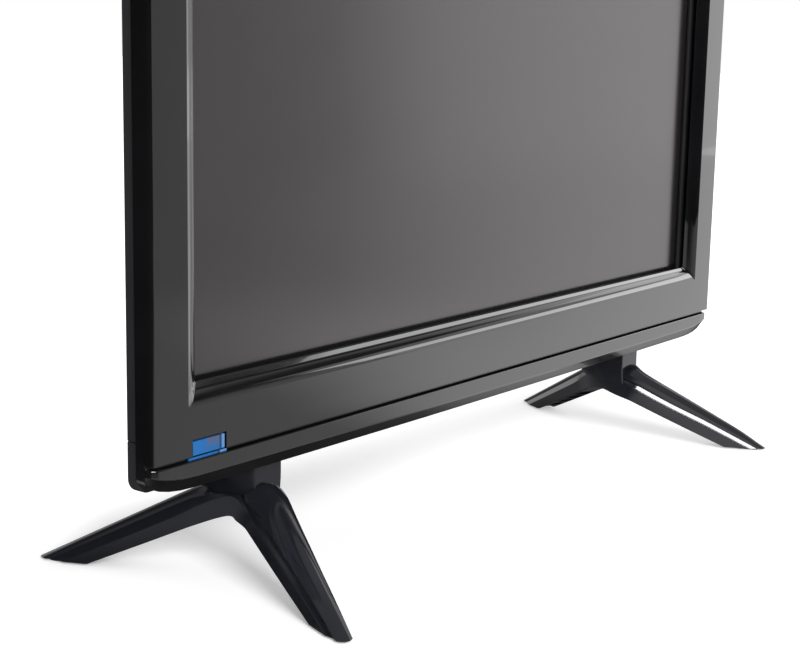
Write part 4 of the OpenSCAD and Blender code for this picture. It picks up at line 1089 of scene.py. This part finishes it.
def key_cap(name, sizes):
    """A key cap with rounded edges and a raised mark."""
    node = "key_" + name
    low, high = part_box(node)
    bm = merged_copy(node)
    round_where(bm, lambda p: close(p.y, high.y), sizes.key_round)
    middle = Vector(((low.x + high.x) / 2, high.y, (low.z + high.z) / 2))
    for across, up, angle in MARKS[name]:
        share = LONE_STROKE if len(MARKS[name]) == 1 and angle else ARROW_STROKE if abs(angle) == 45 else 1.0
        add_part(bm, stroke(middle + Vector((across, 0, up)) * MARK_SPAN, MARK_SPAN * share, angle))
    if name == "power":
        add_part(bm, open_ring(middle, MARK_SPAN * RING_SHARE))
    return new_object(node + "_cap", bm)


class TELEVISION_OT_keys(bpy.types.Operator):
    """Build the five key caps and finish their plungers."""

    bl_idname = "television.keys"
    bl_label = "Keys"

    def execute(self, context):
        satin = finish("key_satin", (0.05, 0.05, 0.055), 0.35, 0.5, scale=1100.0, bump=0.2)
        ivory = finish("plunger_ivory", (0.55, 0.52, 0.44), 0.35, 0.5)
        for name in KEYS:
            node = "key_" + name
            dress(key_cap(name, context.scene.television_sizes), satin, node, "key_plastic", node)
            paint("plunger_" + name, ivory)
        return {"FINISHED"}


# Sockets, screws and inner parts

# Shares of a screw head's width for its cross, and the depth of the cross
CROSS_SPAN, CROSS_WIDE, CROSS_DEEP = 0.66, 0.19, 0.9 * MM
HEAD_ROUND = 0.25 * MM


def islands(bm):
    """Groups of connected vertices, in the order of the mesh."""
    found, groups = set(), []
    for first in bm.verts:
        if first in found:
            continue
        found.add(first)
        group = [first]
        for vert in group:
            for edge in vert.link_edges:
                other = edge.other_vert(vert)
                if other not in found:
                    found.add(other)
                    group.append(other)
        groups.append(group)
    return groups


def screw_set(node, name):
    """The screws of one kind, with rounded heads and cross recesses."""
    bm = merged_copy(node)
    cuts = bmesh.new()
    rims = []
    for group in islands(bm):
        places = [vert.co for vert in group]
        middle = sum(places, Vector()) / len(places)
        ends = {}
        for y in (min(p.y for p in places), max(p.y for p in places)):
            ends[y] = max(
                ((p.x - middle.x) ** 2 + (p.z - middle.z) ** 2) ** 0.5 for p in places if close(p.y, y))
        head = max(ends, key=ends.get)
        wide = ends[head] * 2
        chosen = set(group)
        rims += [edge for edge in bm.edges if edge.verts[0] in chosen and is_sharp(edge)
                 and all(close(vert.co.y, head) for vert in edge.verts)]
        for angle in (0, 90):
            add_block(cuts, (middle.x, head, middle.z), (wide * CROSS_SPAN, CROSS_DEEP * 2, wide * CROSS_WIDE),
                      radians(angle))
    round_edges(bm, rims, HEAD_ROUND, 2)
    return cut_piece(name, bm, cuts)


class TELEVISION_OT_sockets(bpy.types.Operator):
    """Finish the sockets and the screws."""

    bl_idname = "television.sockets"
    bl_label = "Sockets and screws"

    def execute(self, context):
        colours = context.scene.television_colours
        tin = finish("tin_plate", colours.steel, 0.25, 0.4, scale=300.0, metallic=1.0, stretch=(1.0, 8.0, 1.0))
        black = finish("socket_black", (0.02, 0.02, 0.021), 0.35, 0.5, scale=1200.0, bump=0.15)
        steel = finish("screw_steel", (0.10, 0.10, 0.105), 0.35, 0.5, scale=800.0, metallic=1.0)
        brass = finish("insert_brass", colours.brass, 0.25, 0.42, scale=600.0, metallic=1.0)
        paint("hdmi_sockets usb_socket antenna_socket power_inlet_pins tuner_can", tin)
        paint("audio_jacks power_inlet key_switch_bodies speaker_box_left speaker_box_right", black)
        for node in ("stand_screws", "cover_screws"):
            dress(screw_set(node, node + "_heads"), steel, CABINET, "screw_steel", node)
        paint("board_screws", steel)
        paint("wall_mount_inserts board_standoffs", brass)
        return {"FINISHED"}


# Finishes inside: name, colour, least and most roughness, other values, and the solids that have it
INNER_FINISHES = (
    ("panel_steel", (0.05, 0.05, 0.05), 0.4, 0.55, dict(scale=700.0, metallic=0.6), "panel_front_frame"),
    ("white_moulding", (0.78, 0.78, 0.76), 0.4, 0.55, dict(spread=0.04),
     "panel_middle_frame diffuser_sheet reflector_sheet"),
    ("film_sheen", (0.7, 0.7, 0.72), 0.2, 0.3, dict(scale=4000.0, spread=0.03, stretch=(0.02, 1.0, 1.0)),
     "prism_sheet"),
    ("guide_acrylic", (0.75, 0.82, 0.84), 0.05, 0.12, dict(scale=500.0, spread=0.03), "light_guide_plate"),
    ("chip_black", (0.02, 0.02, 0.02), 0.45, 0.6, dict(scale=1500.0, bump=0.1),
     "main_board_chips remote_receiver"),
    ("heatsink_alloy", (0.45, 0.46, 0.47), 0.3, 0.45, dict(scale=300.0, metallic=1.0, stretch=(6.0, 1.0, 0.3)),
     "panel_back_plate processor_heatsink speaker_magnet_left speaker_magnet_right"),
    ("cone_paper", (0.035, 0.033, 0.03), 0.75, 0.9, dict(scale=1800.0, spread=0.3, bump=0.4),
     "speaker_cone_left speaker_cone_right"),
    ("led_strip", (0.72, 0.62, 0.30), 0.3, 0.45, {}, "led_bar"),
    ("ribbon_white", (0.62, 0.60, 0.55), 0.4, 0.5, dict(scale=2500.0, stretch=(1.0, 0.1, 0.1)), "panel_ribbon"),
    ("winding_tape", (0.62, 0.45, 0.07), 0.3, 0.45, dict(scale=500.0, stretch=(1.0, 1.0, 6.0)), "transformer"),
    ("capacitor_sleeve", (0.02, 0.03, 0.09), 0.25, 0.4, {}, "mains_capacitor"),
)


class TELEVISION_OT_inside(bpy.types.Operator):
    """Finish the panel module, the boards and the speakers inside the set."""

    bl_idname = "television.inside"
    bl_label = "Inside"

    def execute(self, context):
        for name, base, smooth, rough, values, nodes in INNER_FINISHES:
            paint(nodes, finish(name, base, smooth, rough, **values))
        mask = context.scene.television_colours.board_green
        green = board_finish("board_green", mask, (0.05, 0.22, 0.08), 2.2 * MM)
        paint("panel_driver_board main_board remote_board key_board", green)
        paint("power_board", board_finish("board_tan", (0.30, 0.20, 0.09), (0.18, 0.11, 0.04), 4.0 * MM))
        return {"FINISHED"}


# Stage

WHITE = (1.0, 1.0, 1.0, 1.0)
SENSOR, CLIP_START = 36.0, 0.01
# Soft lights: name, place, aim, width and height, and the setting of the power
LAMPS = (
    ("key_light", (-0.80, -1.28, 0.81), (0.1, 0.0, 0.1), (0.7, 0.5), "key_power"),
    ("side_light", (2.0, -0.85, 0.55), (0.0, 0.0, 0.2), (1.3, 1.3), "side_power"),
    ("strip_light", (1.9, -1.0, 0.72), (0.1, 0.0, 0.1), (1.0, 0.36), "strip_power"),
)
# Studio as gloss shows it: the axis of the direction, and the ranges from and to
STUDIO_RAMPS = {
    "right": ("x", 0.66, 0.93, 0.40, 0.78), "left": ("x", -0.1, 0.55, 0.03, 1.0),
    "ahead": ("y", -0.90, -0.74, 0.05, 1.0), "brink": ("y", -0.35, 0.0, 0.2, 0.50),
    "over": ("z", 0.5, 0.8, 0.0, 0.4), "behind": ("y", 0.82, 0.93, 0.0, 1.2),
    "patch_x": ("x", 0.76, 0.89, 0.3, 1.35), "patch_z": ("z", 0.36, 0.44, 0.0, 1.0),
    "patch_front": ("y", -0.34, -0.24, 0.0, 1.0), "patch_back": ("y", 0.16, 0.30, 1.0, 0.0),
}
STUDIO_BRINK = (0.18, 1.0, 0.08)
# Floor as gloss shows it, a glow of painted light with painted shade: brighter to the right, dark on the far
# left and under the set, paler beside the left stand. What the ramp reads, and the ranges from and to
FLOOR_RAMPS = {
    "dim": ("bearing", -0.2, 0.45, 0.05, 1.0), "far": ("bearing", 0.60, 0.92, 0.42, 1.2),
    "near": ("bearing", 0.30, 0.80, 0.48, 1.22), "left": ("x", -0.42, -0.30, 0.08, 1.0),
    "share": ("reach", 0.35, 0.75, 0.0, 1.0), "brink": ("x", -0.25, 0.3, -0.11, -0.05),
    "beside": ("x", -0.25, -0.19, 0.75, 0.0), "before": ("y", 0.06, 0.14, 1.0, 0.0),
    "past": ("y", -0.05, 0.0, 0.0, 1.0),
}
# Painted shade under the set in the gloss glow: span of its front edge, and the glow before and past it; then
# where the glow comes partly back behind the set, as places and glow
PAINTED_SHADE_EDGE = (0.05, 1.0, 0.06)
PAINTED_SHADE_BEHIND = (0.03, 0.10, 0.0, 0.24)
# Floor as the view shows it: where the lift grows to full white, and how much more it is on the right
LIFT_REACH, LIFT_BACK = (0.26, 0.6), (0.07, 0.16)
LIFT_SIDE, LIFT_GAIN = (-0.1, 0.1), 0.2
FLOOR_HALF, FLOOR_MIDDLE = 3.5, (2.9, 2.5, 0.0)


def view_basis(yaw, pitch, roll):
    """Right, up and back of a camera that is turned, tilted and rolled."""
    ahead = Vector((sin(yaw) * cos(pitch), cos(yaw) * cos(pitch), -sin(pitch)))
    right = Vector((cos(yaw), -sin(yaw), 0.0))
    up = right.cross(ahead)
    rolled = right * cos(roll) + up * sin(roll)
    raised = up * cos(roll) - right * sin(roll)
    return Matrix((rolled, raised, -ahead)).transposed()


def add_camera(stage):
    """The camera at the photo's place."""
    data = bpy.data.cameras.new("photo_camera")
    data.sensor_width = SENSOR
    data.sensor_fit = "HORIZONTAL"
    data.lens = stage.lens
    data.clip_start = CLIP_START
    camera = bpy.data.objects.new("photo_camera", data)
    bpy.context.scene.collection.objects.link(camera)
    camera.matrix_world = Matrix.Translation(stage.camera_place) @ view_basis(
        stage.yaw, stage.pitch, stage.roll).to_4x4()
    bpy.context.scene.camera = camera


def add_lamp(name, place, aim, size, power):
    """A soft light, wide and tall, that points at a spot."""
    data = bpy.data.lights.new(name, "AREA")
    data.shape = "RECTANGLE"
    data.size, data.size_y = size
    data.energy = power
    lamp = bpy.data.objects.new(name, data)
    bpy.context.scene.collection.objects.link(lamp)
    direction = Vector(aim) - Vector(place)
    lamp.matrix_world = Matrix.Translation(place) @ direction.to_track_quat("-Z", "Y").to_matrix().to_4x4()


def seen_rays(nodes):
    """Rays of the view, and those that gloss and glass send on."""
    path = nodes.add("LightPath").outputs
    return path["Is Camera Ray"], nodes.peak(path["Is Glossy Ray"], path["Is Transmission Ray"])


def studio_world(stage):
    """White for the view, even light on the object, and a studio with a dark left for gloss."""
    world = bpy.data.worlds.new("studio")
    bpy.context.scene.world = world
    world.use_nodes = True
    nodes = Nodes(world.node_tree)
    nodes.tree.nodes.clear()

    def light(strength):
        return nodes.add("Background", {"Color": WHITE, "Strength": strength}).outputs[0]

    axes = dict(zip("xyz", nodes.axes(nodes.add("TexCoord").outputs["Generated"])))
    ramps = nodes.ramps(STUDIO_RAMPS, axes)
    span, start, end = STUDIO_BRINK
    level = nodes.line(axes["z"], ramps["brink"], nodes.calc("ADD", ramps["brink"], span), start, end)
    side = nodes.product(ramps["right"], ramps["left"], ramps["ahead"], level)
    patch = nodes.product(*(ramps[name] for name in ramps if name.startswith("patch")))
    gloss = nodes.peak(side, ramps["behind"], ramps["over"], patch)
    viewed, sent = seen_rays(nodes)
    shown = nodes.either(viewed, nodes.either(sent, light(stage.room_light), light(gloss)), light(1.0))
    nodes.add("OutputWorld", {"Surface": shown})


def floor_finish(stage):
    """Pale floor that keeps the shadow and shows white to the view; to gloss it is a glow of painted light,
    with painted shade under and behind the set.
    """
    material = bpy.data.materials.new("floor_pale")
    material.use_nodes = True
    nodes = Nodes(material.node_tree)
    nodes.tree.nodes.clear()
    point = nodes.add("TexCoord").outputs["Object"]
    x, y, _ = nodes.axes(point)
    reach = nodes.add("VectorMath", {0: point}, operation="LENGTH").outputs["Value"]
    bearing = nodes.calc("DIVIDE", x, reach)
    ramps = nodes.ramps(FLOOR_RAMPS, {"x": x, "y": y, "reach": reach, "bearing": bearing})
    # Painted light: the glow that gloss shows on the floor, brighter towards the right and dark on the far left
    far = nodes.product(ramps["dim"], ramps["far"])
    near = nodes.product(ramps["near"], ramps["left"])
    lit = nodes.calc("MULTIPLY_ADD", ramps["share"], nodes.calc("SUBTRACT", far, near), near)
    span, start, end = PAINTED_SHADE_EDGE
    front = nodes.line(y, ramps["brink"], nodes.calc("ADD", ramps["brink"], span), start, end)
    beside = nodes.product(ramps["beside"], ramps["before"], ramps["past"])
    # Painted shade: the gloss glow drops under the set and comes only partly back behind it, with a paler patch
    # beside the left stand
    under = nodes.peak(front, nodes.line(y, *PAINTED_SHADE_BEHIND), beside)
    lift = nodes.ramp(x, *LIFT_SIDE, stage.floor_lift, stage.floor_lift + LIFT_GAIN)
    white = nodes.peak(nodes.ramp(reach, *LIFT_REACH, lift, 1.0), nodes.ramp(y, *LIFT_BACK, lift, 1.0))
    matte = nodes.add("BsdfDiffuse", {"Color": opaque(stage.floor_colour)}).outputs[0]
    glow = nodes.add("Emission", {"Strength": white}).outputs[0]
    # To gloss the floor shows only this glow, with its painted light and painted shade
    mirrored = nodes.add("Emission", {"Strength": nodes.product(lit, under)}).outputs[0]
    lifted = nodes.add("AddShader", {0: matte, 1: glow}).outputs[0]
    viewed, sent = seen_rays(nodes)
    nodes.add("OutputMaterial", {"Surface": nodes.either(sent, nodes.either(viewed, matte, lifted), mirrored)})
    return material


class TELEVISION_OT_stage(bpy.types.Operator):
    """Set up the camera, the light and the floor."""

    bl_idname = "television.stage"
    bl_label = "Stage"

    def execute(self, context):
        stage = context.scene.television_stage
        add_camera(stage)
        studio_world(stage)
        for name, place, aim, size, power in LAMPS:
            add_lamp(name, place, aim, size, getattr(stage, power))
        bm = bmesh.new()
        bmesh.ops.create_grid(bm, x_segments=1, y_segments=1, size=1.0)
        bmesh.ops.scale(bm, vec=(FLOOR_HALF, FLOOR_HALF, 1.0), verts=bm.verts)
        bmesh.ops.translate(bm, vec=FLOOR_MIDDLE, verts=bm.verts)
        floor = new_object("floor", bm)
        floor.data.materials.append(floor_finish(stage))
        context.scene.view_settings.view_transform = "Standard"
        return {"FINISHED"}


class TELEVISION_PT_sidebar(bpy.types.Panel):
    """Sidebar that lists the steps and their values."""

    bl_idname = "TELEVISION_PT_sidebar"
    bl_label = "Television"
    bl_space_type = "VIEW_3D"
    bl_region_type = "UI"
    bl_category = "Television"

    def draw(self, context):
        layout = self.layout
        for operator in OPERATORS:
            layout.operator(operator.bl_idname)
        for group in GROUPS:
            settings = getattr(context.scene, GROUPS[group])
            for name in group.__annotations__:
                layout.prop(settings, name)


OPERATORS = (
    TELEVISION_OT_stage, TELEVISION_OT_front, TELEVISION_OT_cover, TELEVISION_OT_stands, TELEVISION_OT_keys,
    TELEVISION_OT_sockets, TELEVISION_OT_inside,
)
GROUPS = {
    TelevisionSizes: "television_sizes",
    TelevisionColours: "television_colours",
    TelevisionStage: "television_stage",
}


def register():
    """Register the groups, the steps and the sidebar."""
    for group, name in GROUPS.items():
        bpy.utils.register_class(group)
        setattr(bpy.types.Scene, name, PointerProperty(type=group))
    for operator in OPERATORS:
        bpy.utils.register_class(operator)
    bpy.utils.register_class(TELEVISION_PT_sidebar)


def unregister():
    """Remove what register added."""
    bpy.utils.unregister_class(TELEVISION_PT_sidebar)
    for operator in reversed(OPERATORS):
        bpy.utils.unregister_class(operator)
    for group, name in GROUPS.items():
        delattr(bpy.types.Scene, name)
        bpy.utils.unregister_class(group)


def main():
    """Build everything."""
    register()
    bpy.ops.television.stage()
    bpy.ops.television.front()
    bpy.ops.television.cover()
    bpy.ops.television.stands()
    bpy.ops.television.keys()
    bpy.ops.television.sockets()
    bpy.ops.television.inside()


if __name__ == "__main__":
    main()
